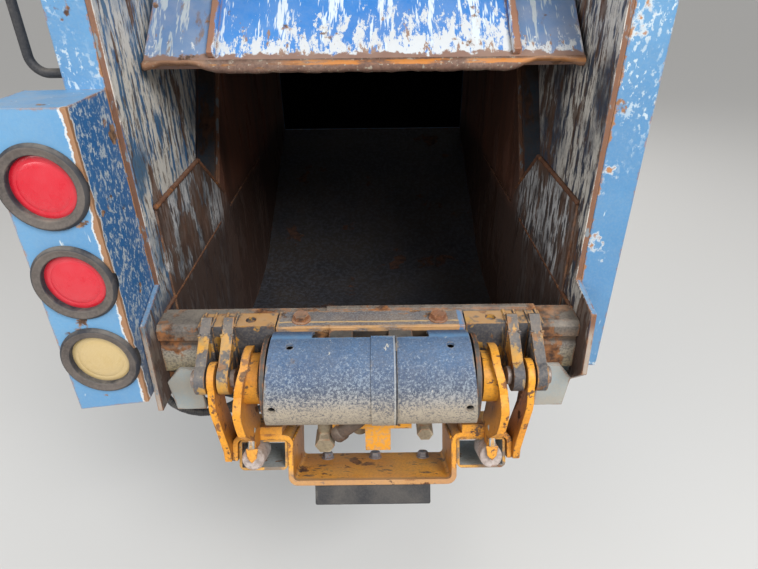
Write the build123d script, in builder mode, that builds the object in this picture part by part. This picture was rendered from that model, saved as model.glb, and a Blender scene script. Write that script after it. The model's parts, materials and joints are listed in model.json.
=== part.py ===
from build123d import *
import os
from math import asin, atan2, cos, degrees, hypot, pi, radians, sin, sqrt, tan

# Tailgate of a narrow rear-loading refuse body, with its hopper, packer and cart tipper.
# Millimetres. The origin is the middle of the top hinge axis, +Y points forward to the body,
# +X to the right as seen from behind, +Z up.

# Overall sizes
opening_width = 733      # clear width between the side walls
tailgate_depth = 1500    # rear face of the posts to the seal face
seal_height = 1850       # height of the seal face
hinge_rise = 65          # hinge axis above the roof
hinge_setback = 60       # hinge axis behind the seal face
sill_rise = 100          # sill top above the lower edge of the seal face
post_height = 1150       # upright part of the posts above the sill top
hood_run = 550           # the hood slopes forward over this length

# Plates and sections
wall = 10
floor_plate = 8
hood_plate = 6
seal_plate = 12
post_width = 60          # outside the wall
post_depth = 100
post_plate = 6
sill_depth = 60
sill_height = 125
wall_below_floor = 14
foot_drop = 140          # lower end of the posts, under the sill top
liner = 4

# Hopper floor: an arc about the lowest place of the sweep hinge, then a ramp
floor_centre = (660, 420)    # forward of the posts' rear face, above the sill top
floor_end_angle = 295

# Packer
track_lean = 58              # angle of the slide tracks above the horizontal
sweep_hinge = (813, 665)     # where the hinge pin is at rest, from the same two planes as the floor
slide_gap = 21.5             # from the slide's cheeks to the walls
slide_length = 780
slide_plate = 12
slide_plate_out = 30         # rear face of the slide's plate in front of the hinge axis
track_width = 176
track_offset = -84           # middle of the tracks, behind the line through the hinge
track_bottom = -700
track_below_beam = 150       # upper end of the tracks, under the upper beam
beam_along = 1150            # the upper beam's middle, up along the tracks from the hinge
track_recess = 45
track_plate = 8
shoe_length = 160
shoe_gap = 5
blade_gap = 5.5              # from the blade's ends to the wear liners
hinge_pin_radius = 25
hinge_tube_radius = 45
horn_radius = 190
horn_angle = 100.5           # direction of the horns from the hinge at rest
pin_gap = 0.3

# Cylinders
slide_cylinder_out = -58
slide_barrel_radius = 50
slide_rod_radius = 25
# How far out the cylinders stand, as shares of the slide's half width
sweep_cylinder_share = 0.6812
slide_cylinder_share = 0.2754
sweep_barrel_radius = 45
sweep_rod_radius = 22
barrel_wall = 9
beam_half = 40               # the upper beam is a square tube

# Lamp box and lamps
lamp_box_width = 120
lamp_box_depth = 122
lamp_box_top = 382
lamp_box_bottom = (-125, -110)   # outer and inner corner, measured from the sill top
lamp_sheet = 4
# Each lamp: its name, how far right of the box's middle, and its height above the sill top
lamp_table = (("stop_lamp", -1.5, 275), ("tail_lamp", 0, 125), ("reverse_lamp", 1.5, -19))
lens_radius = 49
grommet_radius = 58
grommet_collar = 53
lamp_depth = 30

# Cart tipper
tipper_x = 5
tipper_axis = (-130, -55)        # from the posts' rear face and the sill top
drum_radius = 52
drum_half_length = 160
guard_radius = 71
guard_plate = 5
ear_plate = 18
ear_reach = 26                   # radius of the ears' round ends
inner_ear_x = 231
arm_plate = 12
arm_gap = 4                      # each side of an outer arm, between its ears
drive_arm_x = 192
drive_arm_plate = 13
stud_place = (-188, -179)
stud_radius = 19
saddle_edge = (-193, -235)       # rear lower edge of the saddle
saddle_fall = 27.8               # the saddle runs forward and down at this angle
saddle_length = 139
saddle_plate = 9
saddle_inner_x = 140
saddle_outer_x = 235
saddle_pocket_height = 80
pivot_bolt_radius = 12
bar_thick = 16                   # mount bar, behind the sill
bar_top = 8                      # its leg on top of the sill

# Worked out from the sizes above
front_y = hinge_setback
rear_y = front_y - tailgate_depth
top_z = -hinge_rise
bottom_z = top_z - seal_height
sill_z = bottom_z + sill_rise
wall_in = opening_width / 2
wall_out = wall_in + wall
post_out = wall_out + post_width
wall_end_y = front_y - seal_plate
floor_radius = hypot(*floor_centre)
hood_angle = atan2(top_z - sill_z - post_height, hood_run)
slide_half_width = wall_in - slide_gap
blade_half_width = wall_in - liner - blade_gap
sweep_cylinder_x = slide_half_width * sweep_cylinder_share
slide_cylinder_x = slide_half_width * slide_cylinder_share
track_top = beam_along - track_below_beam
outer_ear_x = inner_ear_x + ear_plate + arm_plate + 2 * arm_gap


def at(y, z):
    """A point of the side view, forward of the posts' rear face and above the sill top."""
    return (rear_y + y, sill_z + z)


def packer(along, out):
    """A point of the side view, up along the tracks and out in front of the sweep hinge."""
    lean = radians(track_lean)
    return at(
        sweep_hinge[0] + along * cos(lean) + out * sin(lean),
        sweep_hinge[1] + along * sin(lean) - out * cos(lean),
    )


def from_hinge(y, z):
    """A point of the side view, forward of the sweep hinge at rest and above it."""
    return at(sweep_hinge[0] + y, sweep_hinge[1] + z)


def on_floor_arc(radius, angle):
    return at(
        floor_centre[0] + radius * cos(radians(angle)),
        floor_centre[1] + radius * sin(radians(angle)),
    )


def arc_at_depth(radius, y):
    """The point of a floor arc that lies this far forward of the posts' rear face."""
    return at(y, floor_centre[1] - sqrt(radius**2 - (floor_centre[0] - y) ** 2))


def ramp_end(radius):
    """Where the ramp that runs on from a floor arc meets the seal plate."""
    low = on_floor_arc(radius, floor_end_angle)
    return (wall_end_y, low[1] + (wall_end_y - low[0]) * tan(radians(floor_end_angle - 270)))


def hood_inside(y, depth):
    """Height of a line this deep under the sloping hood, y forward of the posts' rear face."""
    return post_height + y * tan(hood_angle) - depth / cos(hood_angle)


def hood_knee(depth):
    """Where lines this deep under the hood and under the roof cross."""
    return (rear_y + hood_run + depth * tan(hood_angle / 2), top_z - depth)


def side_profile(points, low_x, high_x, mode=Mode.ADD):
    """Extrudes a closed outline of the side view from one X to another."""
    with BuildSketch(Plane.YZ.offset(low_x)) as outline:
        with BuildLine():
            Polyline(*points, close=True)
        make_face()
    extrude(outline.sketch, amount=high_x - low_x, mode=mode)


def side_disc(centre, radius, low_x, high_x, mode=Mode.ADD):
    with BuildSketch(Plane.YZ.offset(low_x)) as disc:
        with Locations(centre):
            Circle(radius)
    extrude(disc.sketch, amount=high_x - low_x, mode=mode)


def side_ring(centre, radius, bore, low_x, high_x):
    side_disc(centre, radius, low_x, high_x)
    side_disc(centre, bore, low_x, high_x, mode=Mode.SUBTRACT)


def side_link(start, end, radius, low_x, high_x, mode=Mode.ADD):
    """Extrudes a bar with round ends between two points of the side view."""
    length = hypot(end[0] - start[0], end[1] - start[1])
    turn = degrees(atan2(end[1] - start[1], end[0] - start[0]))
    middle = ((start[0] + end[0]) / 2, (start[1] + end[1]) / 2)
    with BuildSketch(Plane.YZ.offset(low_x)) as link:
        with Locations(middle):
            SlotCenterToCenter(length, 2 * radius, rotation=turn)
    extrude(link.sketch, amount=high_x - low_x, mode=mode)


def span(side, near, far):
    """Low and high X of a stretch that lies near to far from the middle on one side."""
    return sorted((side * near, side * far))


def along_track(x, out, start):
    """A plane across the tracks, whose normal runs up along them."""
    y, z = packer(start, out)
    lean = radians(track_lean)
    return Plane(origin=(x, y, z), x_dir=(1, 0, 0), z_dir=(0, cos(lean), sin(lean)))


sides = (("left", -1), ("right", 1))
os.makedirs("parts", exist_ok=True)

# Side walls, with the slot that the slide's shoes run in
feet = {
    "left": [at(0, 52), at(-90, 22), at(-102, -foot_drop - 10), at(-45, -foot_drop - 10)],
    "right": [at(0, 52), at(-90, 36), at(-101, -80), at(-40, -foot_drop)],
}
wall_radius = floor_radius + floor_plate + wall_below_floor
track_slot = [
    packer(track_bottom, track_offset - track_width / 2),
    packer(track_bottom, track_offset + track_width / 2),
    packer(track_top, track_offset + track_width / 2),
    packer(track_top, track_offset - track_width / 2),
]
foot_end_angle = 180 + degrees(asin((floor_centre[1] + foot_drop) / wall_radius))
for name, side in sides:
    low, high = span(side, wall_in, wall_out)
    with BuildPart() as side_wall:
        with BuildSketch(Plane.YZ.offset(low)):
            with BuildLine():
                rim = Polyline(
                    on_floor_arc(wall_radius, foot_end_angle),
                    *reversed(feet[name]),
                    at(0, post_height),
                    (rear_y + hood_run, top_z),
                    (wall_end_y, top_z),
                    ramp_end(wall_radius),
                    on_floor_arc(wall_radius, floor_end_angle),
                )
                ThreePointArc(rim @ 1, on_floor_arc(wall_radius, 260), rim @ 0)
            make_face()
        extrude(amount=wall)
        side_profile(track_slot, low, high, mode=Mode.SUBTRACT)
    side_wall.part.label = f"{name}_side_wall"
    export_step(side_wall.part, f"parts/{name}_side_wall.step")

# Posts: folded channels welded to the outside of the walls, on under the hood and the roof
post_outline = [
    at(post_depth, -foot_drop),
    at(post_depth, hood_inside(post_depth, post_depth)),
    hood_knee(post_depth),
    (wall_end_y, top_z - post_depth),
    (wall_end_y, top_z),
    (rear_y + hood_run, top_z),
    at(0, post_height),
    at(0, -foot_drop),
]
for name, side in sides:
    with BuildPart() as post:
        with BuildSketch(Plane.YZ.offset(side * wall_out)) as post_face:
            with BuildLine():
                Polyline(*post_outline, close=True)
            make_face()
        extrude(amount=side * post_width)
        with BuildSketch(Plane.YZ.offset(side * wall_out)):
            add(offset(post_face.face(), amount=-post_plate, mode=Mode.PRIVATE))
        extrude(amount=side * (post_width - post_plate), mode=Mode.SUBTRACT)
    post.part.label = f"{name}_post"
    export_step(post.part, f"parts/{name}_post.step")

# Hopper floor between the walls
with BuildPart() as hopper_floor:
    with BuildSketch(Plane.YZ.offset(-wall_in)):
        with BuildLine():
            inner = ThreePointArc(
                at(0, 0), on_floor_arc(floor_radius, 255), on_floor_arc(floor_radius, floor_end_angle)
            )
            outer_radius = floor_radius + floor_plate
            edge = Polyline(
                inner @ 1,
                ramp_end(floor_radius),
                ramp_end(outer_radius),
                on_floor_arc(outer_radius, floor_end_angle),
            )
            under = ThreePointArc(edge @ 1, on_floor_arc(outer_radius, 255), arc_at_depth(outer_radius, 0))
            Line(under @ 1, inner @ 0)
        make_face()
    extrude(amount=opening_width)
hopper_floor.part.label = "hopper_floor"
export_step(hopper_floor.part, "parts/hopper_floor.step")

# Loading sill: a pressed tube with a rounded top bar over a worn band
sill_outline = [
    at(0, 0),
    at(-sill_depth + 10, 0),
    at(-sill_depth, -8),
    at(-sill_depth, -28),
    at(-sill_depth + 8, -34),
    at(-sill_depth + 8, -42),
    at(-sill_depth + 3, -47),
    at(-sill_depth + 3, -96),
    at(-sill_depth + 12, -102),
    at(-sill_depth + 12, -sill_height),
    at(0, -sill_height),
]
sill_strip = (-75, 299)      # a worn flat strip along the inner edge
with BuildPart() as rear_sill:
    side_profile(sill_outline, -wall_in, wall_in)
    sill_hollow = [at(-6, -8), at(-44, -8), at(-44, -sill_height + 8), at(-6, -sill_height + 8)]
    side_profile(sill_hollow, -wall_in, wall_in, mode=Mode.SUBTRACT)
    side_profile([at(-12, 0), at(0, 0), at(0, 4), at(-12, 4)], *sill_strip)
rear_sill.part.label = "rear_sill"
export_step(rear_sill.part, "parts/rear_sill.step")

# Hood and roof between the walls, with cross ribs on the slope
hood_lip = 60
hood_outline = [
    at(0, post_height),
    (rear_y + hood_run, top_z),
    (wall_end_y, top_z),
    (wall_end_y, top_z - hood_plate),
    hood_knee(hood_plate),
    at(hood_plate, hood_inside(hood_plate, hood_plate)),
    at(hood_plate, post_height - hood_lip),
    at(0, post_height - hood_lip),
]
rib_height = 30
with BuildPart() as hood_panel:
    side_profile(hood_outline, -wall_in, wall_in)
    for share in (0.25, 0.75):
        rib_y = rear_y + share * hood_run
        rib_z = sill_z + post_height + share * hood_run * tan(hood_angle)
        rib_plane = Plane(
            origin=(0, rib_y, rib_z), x_dir=(1, 0, 0), z_dir=(0, -sin(hood_angle), cos(hood_angle))
        )
        with BuildSketch(rib_plane):
            Rectangle(opening_width, 60)
        extrude(amount=rib_height, taper=20)
hood_panel.part.label = "hood_panel"
export_step(hood_panel.part, "parts/hood_panel.step")

# Seal frame: the flat ring that meets the body
ramp_z = ramp_end(floor_radius)[1]
with BuildPart() as seal_frame:
    with BuildSketch(Plane.XZ.offset(-front_y)):
        with Locations((0, (top_z + bottom_z) / 2)):
            Rectangle(2 * post_out, seal_height)
        with Locations((0, (top_z - hood_plate + ramp_z) / 2)):
            Rectangle(opening_width, top_z - hood_plate - ramp_z, mode=Mode.SUBTRACT)
    extrude(amount=seal_plate)
seal_frame.part.label = "seal_frame"
export_step(seal_frame.part, "parts/seal_frame.step")

# Slide tracks: trays over the slots in the walls
half_track = track_width / 2
tray_outline = [
    packer(track_bottom - track_plate, track_offset - half_track - track_plate),
    packer(track_bottom - track_plate, track_offset + half_track + track_plate),
    packer(track_top + track_plate, track_offset + half_track + track_plate),
    packer(track_top + track_plate, track_offset - half_track - track_plate),
]
for name, side in sides:
    with BuildPart() as slide_track:
        side_profile(tray_outline, *span(side, wall_out, wall_out + track_recess + track_plate))
        side_profile(track_slot, *span(side, wall_out, wall_out + track_recess), mode=Mode.SUBTRACT)
    slide_track.part.label = f"{name}_slide_track"
    export_step(slide_track.part, f"parts/{name}_slide_track.step")

# Wear liners on the lower walls, cut to the floor's curve
liner_radius = floor_radius - 1
liner_start = arc_at_depth(liner_radius, 45)
liner_end = arc_at_depth(liner_radius, 920)
with BuildPart() as wear_liners:
    for name, side in sides:
        low, high = span(side, wall_in - liner, wall_in)
        with BuildSketch(Plane.YZ.offset(low)):
            with BuildLine():
                rim = Polyline(
                    liner_start, at(45, 178), at(307, 180), at(460, 54), at(500, 0), at(920, 0), liner_end
                )
                ThreePointArc(rim @ 1, on_floor_arc(liner_radius, 255), rim @ 0)
            make_face()
        extrude(amount=liner)
wear_liners.part.label = "wear_liners"
export_step(wear_liners.part, "parts/wear_liners.step")

# Hinge lugs on the roof, with the bores that the body's hinge pins go through
lug_x = wall_in - 66.5
lug_width = 60
hinge_bore = 19.5
lug_radius = 48
with BuildPart() as hinge_lugs:
    for name, side in sides:
        low, high = span(side, lug_x - lug_width / 2, lug_x + lug_width / 2)
        side_profile([(-110, top_z), (48, top_z), (48, 0), (0, 0), (-40, -22)], low, high)
        side_ring((0, 0), lug_radius, hinge_bore, low, high)
        under_roof = [(-150, top_z - 40), (60, top_z - 40), (60, top_z), (-150, top_z)]
        side_profile(under_roof, low, high, mode=Mode.SUBTRACT)
hinge_lugs.part.label = "hinge_lugs"
export_step(hinge_lugs.part, "parts/hinge_lugs.step")

# Latch lugs low on the outside of the walls, bored for the body's lock hooks
latch_bore = 16
latch_width = 32
latch_place = (wall_end_y - 50, bottom_z + 75)
with BuildPart() as latch_lugs:
    for name, side in sides:
        low, high = span(side, wall_out, wall_out + latch_width)
        lug_foot = [
            (wall_end_y, latch_place[1] - 60),
            (wall_end_y, latch_place[1] + 60),
            (latch_place[0], latch_place[1] + 38),
            (latch_place[0], latch_place[1] - 38),
        ]
        side_profile(lug_foot, low, high)
        side_ring(latch_place, 38, latch_bore, low, high)
latch_lugs.part.label = "latch_lugs"
export_step(latch_lugs.part, "parts/latch_lugs.step")

# Lamp box behind the left post: a folded sheet box with three lamp holes
box_in_x = -wall_out - 1
box_out_x = box_in_x - lamp_box_width
box_rear_y = rear_y - lamp_box_depth
lamp_places = [(lamp, (box_in_x + box_out_x) / 2 + x, z) for lamp, x, z in lamp_table]
with BuildPart() as lamp_box:
    with BuildSketch(Plane.XZ.offset(-rear_y)) as box_face:
        with BuildLine():
            Polyline(
                (box_in_x, sill_z + lamp_box_bottom[1]),
                (box_in_x, sill_z + lamp_box_top),
                (box_out_x, sill_z + lamp_box_top),
                (box_out_x, sill_z + lamp_box_bottom[0]),
                close=True,
            )
        make_face()
    extrude(amount=lamp_box_depth)
    with BuildSketch(Plane.XZ.offset(-rear_y + lamp_sheet)):
        add(offset(box_face.face(), amount=-lamp_sheet, mode=Mode.PRIVATE))
    extrude(amount=lamp_box_depth - 2 * lamp_sheet, mode=Mode.SUBTRACT)
    for lamp, x, z in lamp_places:
        with BuildSketch(Plane.XZ.offset(-box_rear_y)):
            with Locations((x, sill_z + z)):
                Circle(grommet_collar)
        extrude(amount=-2 * lamp_sheet, mode=Mode.SUBTRACT)
lamp_box.part.label = "lamp_box"
export_step(lamp_box.part, "parts/lamp_box.step")

# Rubber grommets in the lamp holes and the lamps in them
with BuildPart() as lamp_grommets:
    for lamp, x, z in lamp_places:
        with BuildSketch(Plane.XZ.offset(-box_rear_y)):
            with Locations((x, sill_z + z)):
                Circle(grommet_radius)
                Circle(lens_radius, mode=Mode.SUBTRACT)
        extrude(amount=7)
        with BuildSketch(Plane.XZ.offset(-box_rear_y)):
            with Locations((x, sill_z + z)):
                Circle(grommet_collar)
                Circle(lens_radius, mode=Mode.SUBTRACT)
        extrude(amount=-14)
lamp_grommets.part.label = "lamp_grommets"
export_step(lamp_grommets.part, "parts/lamp_grommets.step")

for lamp_name, x, z in lamp_places:
    with BuildPart() as lamp:
        with BuildSketch(Plane.XZ.offset(-box_rear_y - lamp_depth)):
            with Locations((x, sill_z + z)):
                Circle(lens_radius)
        extrude(amount=lamp_depth + 2)
        fillet(lamp.faces().sort_by(Axis.Y)[0].edges(), 4)
    lamp.part.label = lamp_name
    export_step(lamp.part, f"parts/{lamp_name}.step")

# Bracket beam that carries the lamp box off the left post
with BuildPart() as lamp_bracket:
    with BuildSketch(Plane.YZ.offset(-post_out)):
        with Locations(at(40, -75)):
            Rectangle(60, 50)
            Rectangle(50, 40, mode=Mode.SUBTRACT)
    extrude(amount=-(abs(box_out_x) - post_out))
    with BuildSketch(Plane.YZ.offset(-post_out)):
        with Locations(at(5, -75)):
            Rectangle(10, 50)
    extrude(amount=-(abs(box_out_x) - post_out))
lamp_bracket.part.label = "lamp_bracket"
export_step(lamp_bracket.part, "parts/lamp_bracket.step")

# Grab handle on the outside of the left post
handle_out = 58
handle_radius = 7
handle_y = rear_y + 32
with BuildPart() as grab_handle:
    with BuildLine():
        grip = FilletPolyline(
            (-post_out, handle_y, sill_z + 400),
            (-post_out - handle_out, handle_y, sill_z + 400),
            (-post_out - handle_out, handle_y, sill_z + 850),
            (-post_out, handle_y, sill_z + 850),
            radius=26,
        )
    with BuildSketch(Plane(origin=grip @ 0, z_dir=grip % 0)):
        Circle(handle_radius)
    sweep()
grab_handle.part.label = "grab_handle"
export_step(grab_handle.part, "parts/grab_handle.step")

# Gussets under the ends of the sill
with BuildPart() as sill_gussets:
    for name, side in sides:
        with BuildSketch(Plane.XZ.offset(-rear_y + sill_depth - 3)):
            with BuildLine():
                Polyline(
                    (side * (wall_in - 60), sill_z - 86),
                    (side * (wall_in - 26), sill_z - 86),
                    (side * (wall_in - 1), sill_z - 116),
                    (side * (wall_in - 8), sill_z - 180),
                    (side * (wall_in - 62), sill_z - 180),
                    close=True,
                )
            make_face()
        extrude(amount=8)
sill_gussets.part.label = "sill_gussets"
export_step(sill_gussets.part, "parts/sill_gussets.step")

# Tipper mount bar, an angle bolted over the sill's rear top edge
sill_face_y = rear_y - sill_depth
tipper_y, tipper_z = at(*tipper_axis)
bar_half = 160
bar_outline_side = [
    at(-sill_depth, 0),
    at(-sill_depth, -36),
    at(-sill_depth - bar_thick, -36),
    at(-sill_depth - bar_thick, bar_top),
    at(-24, bar_top),
    at(-24, 0),
]
with BuildPart() as tipper_mount_bar:
    side_profile(bar_outline_side, tipper_x - bar_half, tipper_x + bar_half)
tipper_mount_bar.part.label = "tipper_mount_bar"
export_step(tipper_mount_bar.part, "parts/tipper_mount_bar.step")

# Clevis brackets: an angle over the sill at each end with two ears that carry the outer arm's pivot,
# and the stop plate under the drum
plate_thick = 10
stop_plate_thick = 8
stop_plate_y = tipper_y - 16
stop_half = 68
stop_low_z = tipper_z - 101
tab_low_z = tipper_z - 152
tab_x = (-12, 32)                # left and right edge of the stop plate's tab
bracket_angle = [
    at(-sill_depth, 0),
    at(-sill_depth, -86),
    at(-sill_depth - plate_thick, -86),
    at(-sill_depth - plate_thick, bar_top),
    at(-30, bar_top),
    at(-30, 0),
]
ear = [
    at(-sill_depth + 8, bar_top - 4),
    at(-sill_depth + 8, bar_top + 8),
    at(-sill_depth, bar_top + 12),
    (tipper_y, tipper_z + ear_reach),
    (tipper_y, tipper_z - ear_reach),
    at(-sill_depth - plate_thick / 2, -84),
    at(-sill_depth - plate_thick / 2, bar_top - 4),
]
with BuildPart() as tipper_brackets:
    for name, side in sides:
        low, high = span(side, bar_half + 2, outer_ear_x + ear_plate + 6)
        side_profile(bracket_angle, tipper_x + low, tipper_x + high)
        with BuildSketch(Plane.XY.offset(sill_z + bar_top)):
            with Locations((tipper_x + side * 206, rear_y - 50)):
                Circle(9)
        extrude(amount=-bar_top, mode=Mode.SUBTRACT)
        for ear_x in (inner_ear_x, outer_ear_x):
            near, far = span(side, ear_x, ear_x + ear_plate)
            side_profile(ear, tipper_x + near, tipper_x + far)
            side_ring((tipper_y, tipper_z), ear_reach, pivot_bolt_radius, tipper_x + near, tipper_x + far)
    with BuildSketch(Plane.XZ.offset(-stop_plate_y)):
        with BuildLine():
            Polyline(
                (tipper_x - stop_half, tipper_z - 30),
                (tipper_x - stop_half, stop_low_z),
                (tipper_x + tab_x[0], stop_low_z),
                (tipper_x + tab_x[0], tab_low_z),
                (tipper_x + tab_x[1], tab_low_z),
                (tipper_x + tab_x[1], stop_low_z),
                (tipper_x + stop_half, stop_low_z),
                (tipper_x + stop_half, tipper_z - 30),
                close=True,
            )
        make_face()
    extrude(amount=-stop_plate_thick)
    side_disc((tipper_y, tipper_z), drum_radius, tipper_x - 130, tipper_x + 130, mode=Mode.SUBTRACT)
tipper_brackets.part.label = "tipper_brackets"
export_step(tipper_brackets.part, "parts/tipper_brackets.step")

# Pivot bolts through the ears, with a head outside and a nut inside
bolt_head = 8
bolt_head_radius = 15
bolt_end_x = outer_ear_x + ear_plate
with BuildPart() as pivot_bolts:
    for name, side in sides:
        near, far = span(side, inner_ear_x, bolt_end_x)
        side_disc((tipper_y, tipper_z), pivot_bolt_radius, tipper_x + near, tipper_x + far)
        for start, end in ((inner_ear_x - bolt_head, inner_ear_x), (bolt_end_x, bolt_end_x + bolt_head)):
            near, far = span(side, start, end)
            side_disc((tipper_y, tipper_z), bolt_head_radius, tipper_x + near, tipper_x + far)
pivot_bolts.part.label = "pivot_bolts"
export_step(pivot_bolts.part, "parts/pivot_bolts.step")

# Rotary actuator: a drum with end housings, on two feet against the mount bar, and two end
# flanges that carry its guard
foot_face = sill_face_y - bar_thick
guard_front = [
    (foot_face, tipper_z + 200),
    (foot_face, tipper_z - 200),
    (tipper_y + 200, tipper_z - 200),
    (tipper_y + 200, tipper_z + 200),
]
with BuildPart() as tipper_actuator:
    side_disc((tipper_y, tipper_z), drum_radius, tipper_x - drum_half_length, tipper_x + drum_half_length)
    for side in (-1, 1):
        near, far = span(side, drum_half_length, drum_half_length + 18)
        side_disc((tipper_y, tipper_z), drum_radius - 14, tipper_x + near, tipper_x + far)
        near, far = span(side, 30, 70)
        foot_pad = [
            (foot_face, sill_z + 2),
            (foot_face, sill_z - 34),
            (tipper_y, tipper_z - 20),
            (tipper_y, tipper_z + 50),
        ]
        side_profile(foot_pad, tipper_x + near, tipper_x + far)
        near, far = span(side, drum_half_length + 3, drum_half_length + 11)
        side_disc((tipper_y, tipper_z), guard_radius, tipper_x + near, tipper_x + far)
    side_profile(guard_front, tipper_x - 200, tipper_x + 200, mode=Mode.SUBTRACT)
tipper_actuator.part.label = "tipper_actuator"
export_step(tipper_actuator.part, "parts/tipper_actuator.step")

# Guard: a rolled plate round the back of the drum, wider at the bottom, with a lapped band,
# corner holes and a slot along its top edge
guard_out = guard_radius + guard_plate
band_x = (6, 47)
band_plate = 2.5
guard_front_cut = [
    (tipper_y + 50, tipper_z + 200),
    (tipper_y + 50, tipper_z),
    (tipper_y - 20, tipper_z - 60),
    (tipper_y - 20, tipper_z - 200),
    (tipper_y + 200, tipper_z - 200),
    (tipper_y + 200, tipper_z + 200),
]
guard_slot = [
    (tipper_y + 6, tipper_z + 200),
    (tipper_y + 6, tipper_z + 20),
    (tipper_y + 200, tipper_z + 20),
    (tipper_y + 200, tipper_z + 200),
]
guard_top_half = 156
guard_low_half = 174
slot_half = 94
guard_hole_radius = 6
with BuildPart() as actuator_guard:
    side_ring((tipper_y, tipper_z), guard_out, guard_radius, tipper_x - 180, tipper_x + 180)
    side_ring((tipper_y, tipper_z), guard_out + band_plate, guard_radius, *band_x)
    with BuildSketch(Plane.XZ.offset(-tipper_y - 200)):
        with BuildLine():
            Polyline(
                (tipper_x - guard_top_half, tipper_z + 100),
                (tipper_x + guard_top_half, tipper_z + 100),
                (tipper_x + guard_low_half, tipper_z - 100),
                (tipper_x - guard_low_half, tipper_z - 100),
                close=True,
            )
        make_face()
    extrude(amount=400, mode=Mode.INTERSECT)
    side_profile(guard_front_cut, tipper_x - 200, tipper_x + 200, mode=Mode.SUBTRACT)
    side_profile(guard_slot, tipper_x - slot_half, tipper_x + slot_half, mode=Mode.SUBTRACT)
    with BuildSketch(Plane.XY.offset(tipper_z)):
        with Locations((tipper_x - 126, tipper_y - 15), (tipper_x + 126, tipper_y - 15)):
            Circle(guard_hole_radius)
    extrude(amount=100, mode=Mode.SUBTRACT)
    with BuildSketch(Plane.XZ.offset(-tipper_y)):
        with Locations((tipper_x - 153, tipper_z - 2), (tipper_x + 153, tipper_z - 2)):
            Circle(guard_hole_radius)
    extrude(amount=100, mode=Mode.SUBTRACT)
actuator_guard.part.label = "actuator_guard"
export_step(actuator_guard.part, "parts/actuator_guard.step")

# Hydraulic fittings under the drum: an elbow for each hose, and capped ports beside them
port_z = tipper_z - drum_radius
port_y = tipper_y - 2
elbow_y = tipper_y + 14
elbow_reach = 60
# Each elbow: how far from the drum's middle, and its drop under the drum
elbows = ((-60, 36), (-22, 66))
fitting_radius = 13
# Each capped port: how far from the drum's middle, its drop under the drum, its length rearward
# and its cap's radius
capped_ports = ((-82, 76, 26, 17), (91, 56, 22, 14))
with BuildPart() as hydraulic_fittings:
    for x, drop in elbows:
        with BuildSketch(Plane.XY.offset(port_z + 4)):
            with Locations((tipper_x + x, elbow_y)):
                Circle(fitting_radius)
        extrude(amount=-drop - 4 - fitting_radius)
        with BuildSketch(Plane.XZ.offset(-port_y - 4)):
            with Locations((tipper_x + x, port_z - drop)):
                RegularPolygon(fitting_radius, 6)
        extrude(amount=-elbow_reach)
    for x, drop, reach, cap_radius in capped_ports:
        with BuildSketch(Plane.XY.offset(port_z + 4)):
            with Locations((tipper_x + x, port_y)):
                Circle(fitting_radius)
        extrude(amount=-drop - 4)
        with BuildSketch(Plane.XZ.offset(-port_y - fitting_radius)):
            with Locations((tipper_x + x, port_z - drop)):
                RegularPolygon(cap_radius, 6)
        extrude(amount=reach + fitting_radius)
    side_disc((tipper_y, tipper_z), drum_radius, tipper_x - 130, tipper_x + 130, mode=Mode.SUBTRACT)
hydraulic_fittings.part.label = "hydraulic_fittings"
export_step(hydraulic_fittings.part, "parts/hydraulic_fittings.step")

# Hydraulic hoses: out of the left post's lower end, in a loop under the sill, to the elbows.
# Each point: X, forward of the posts' rear face, above the sill top
hose_radius = 7
arc_share = 0.45
hose_start_z = -foot_drop
hose_end_y = tipper_axis[0] + 2 + elbow_reach
hose_ends = [(tipper_x + x, tipper_axis[1] - drum_radius - drop) for x, drop in elbows]
hose_routes = (
    (
        (-405, 45, hose_start_z),
        (-405, 45, -200),
        (-325, 25, -258),
        (-235, 15, -262),
        (-135, 40, -225),
        (-85, 38, -172),
        (hose_ends[0][0], -10, hose_ends[0][1]),
        (hose_ends[0][0], hose_end_y, hose_ends[0][1]),
    ),
    (
        (-405, 72, hose_start_z),
        (-405, 72, -195),
        (-330, 60, -245),
        (-240, 50, -258),
        (-130, 62, -222),
        (-62, 50, -196),
        (hose_ends[1][0], -6, hose_ends[1][1]),
        (hose_ends[1][0], hose_end_y, hose_ends[1][1]),
    ),
)
with BuildPart() as hydraulic_hoses:
    for number, route in enumerate(hose_routes):
        points = [Vector(x, *at(y, z)) for x, y, z in route]
        runs = [b - a for a, b in zip(points, points[1:])]
        radii = [
            arc_share * min(a.length, b.length) / tan(radians(a.get_angle(b)) / 2)
            for a, b in zip(runs, runs[1:])
        ]
        with BuildLine():
            hose = FilletPolyline(*points, radius=radii)
        with BuildSketch(Plane(origin=hose @ 0, z_dir=hose % 0)) as hose_section:
            Circle(hose_radius)
        sweep(hose_section.sketch, path=hose)
        print("hose", number, "radii", [round(r) for r in radii], "length", round(hose.length))
        print("section times length", round(pi * hose_radius**2 * hose.length))
print("hoses' volume", round(hydraulic_hoses.part.volume))
hydraulic_hoses.part.label = "hydraulic_hoses"
export_step(hydraulic_hoses.part, "parts/hydraulic_hoses.step")

# Upper beam under the roof and the fixed rods of the slide cylinders
beam_y, beam_z = packer(beam_along, slide_cylinder_out)
with BuildPart() as upper_beam:
    with BuildSketch(Plane.YZ.offset(-wall_in)):
        with Locations((beam_y, beam_z)):
            Rectangle(2 * beam_half, 2 * beam_half)
            Rectangle(2 * beam_half - 16, 2 * beam_half - 16, mode=Mode.SUBTRACT)
    extrude(amount=opening_width)
upper_beam.part.label = "upper_beam"
export_step(upper_beam.part, "parts/upper_beam.step")

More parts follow.
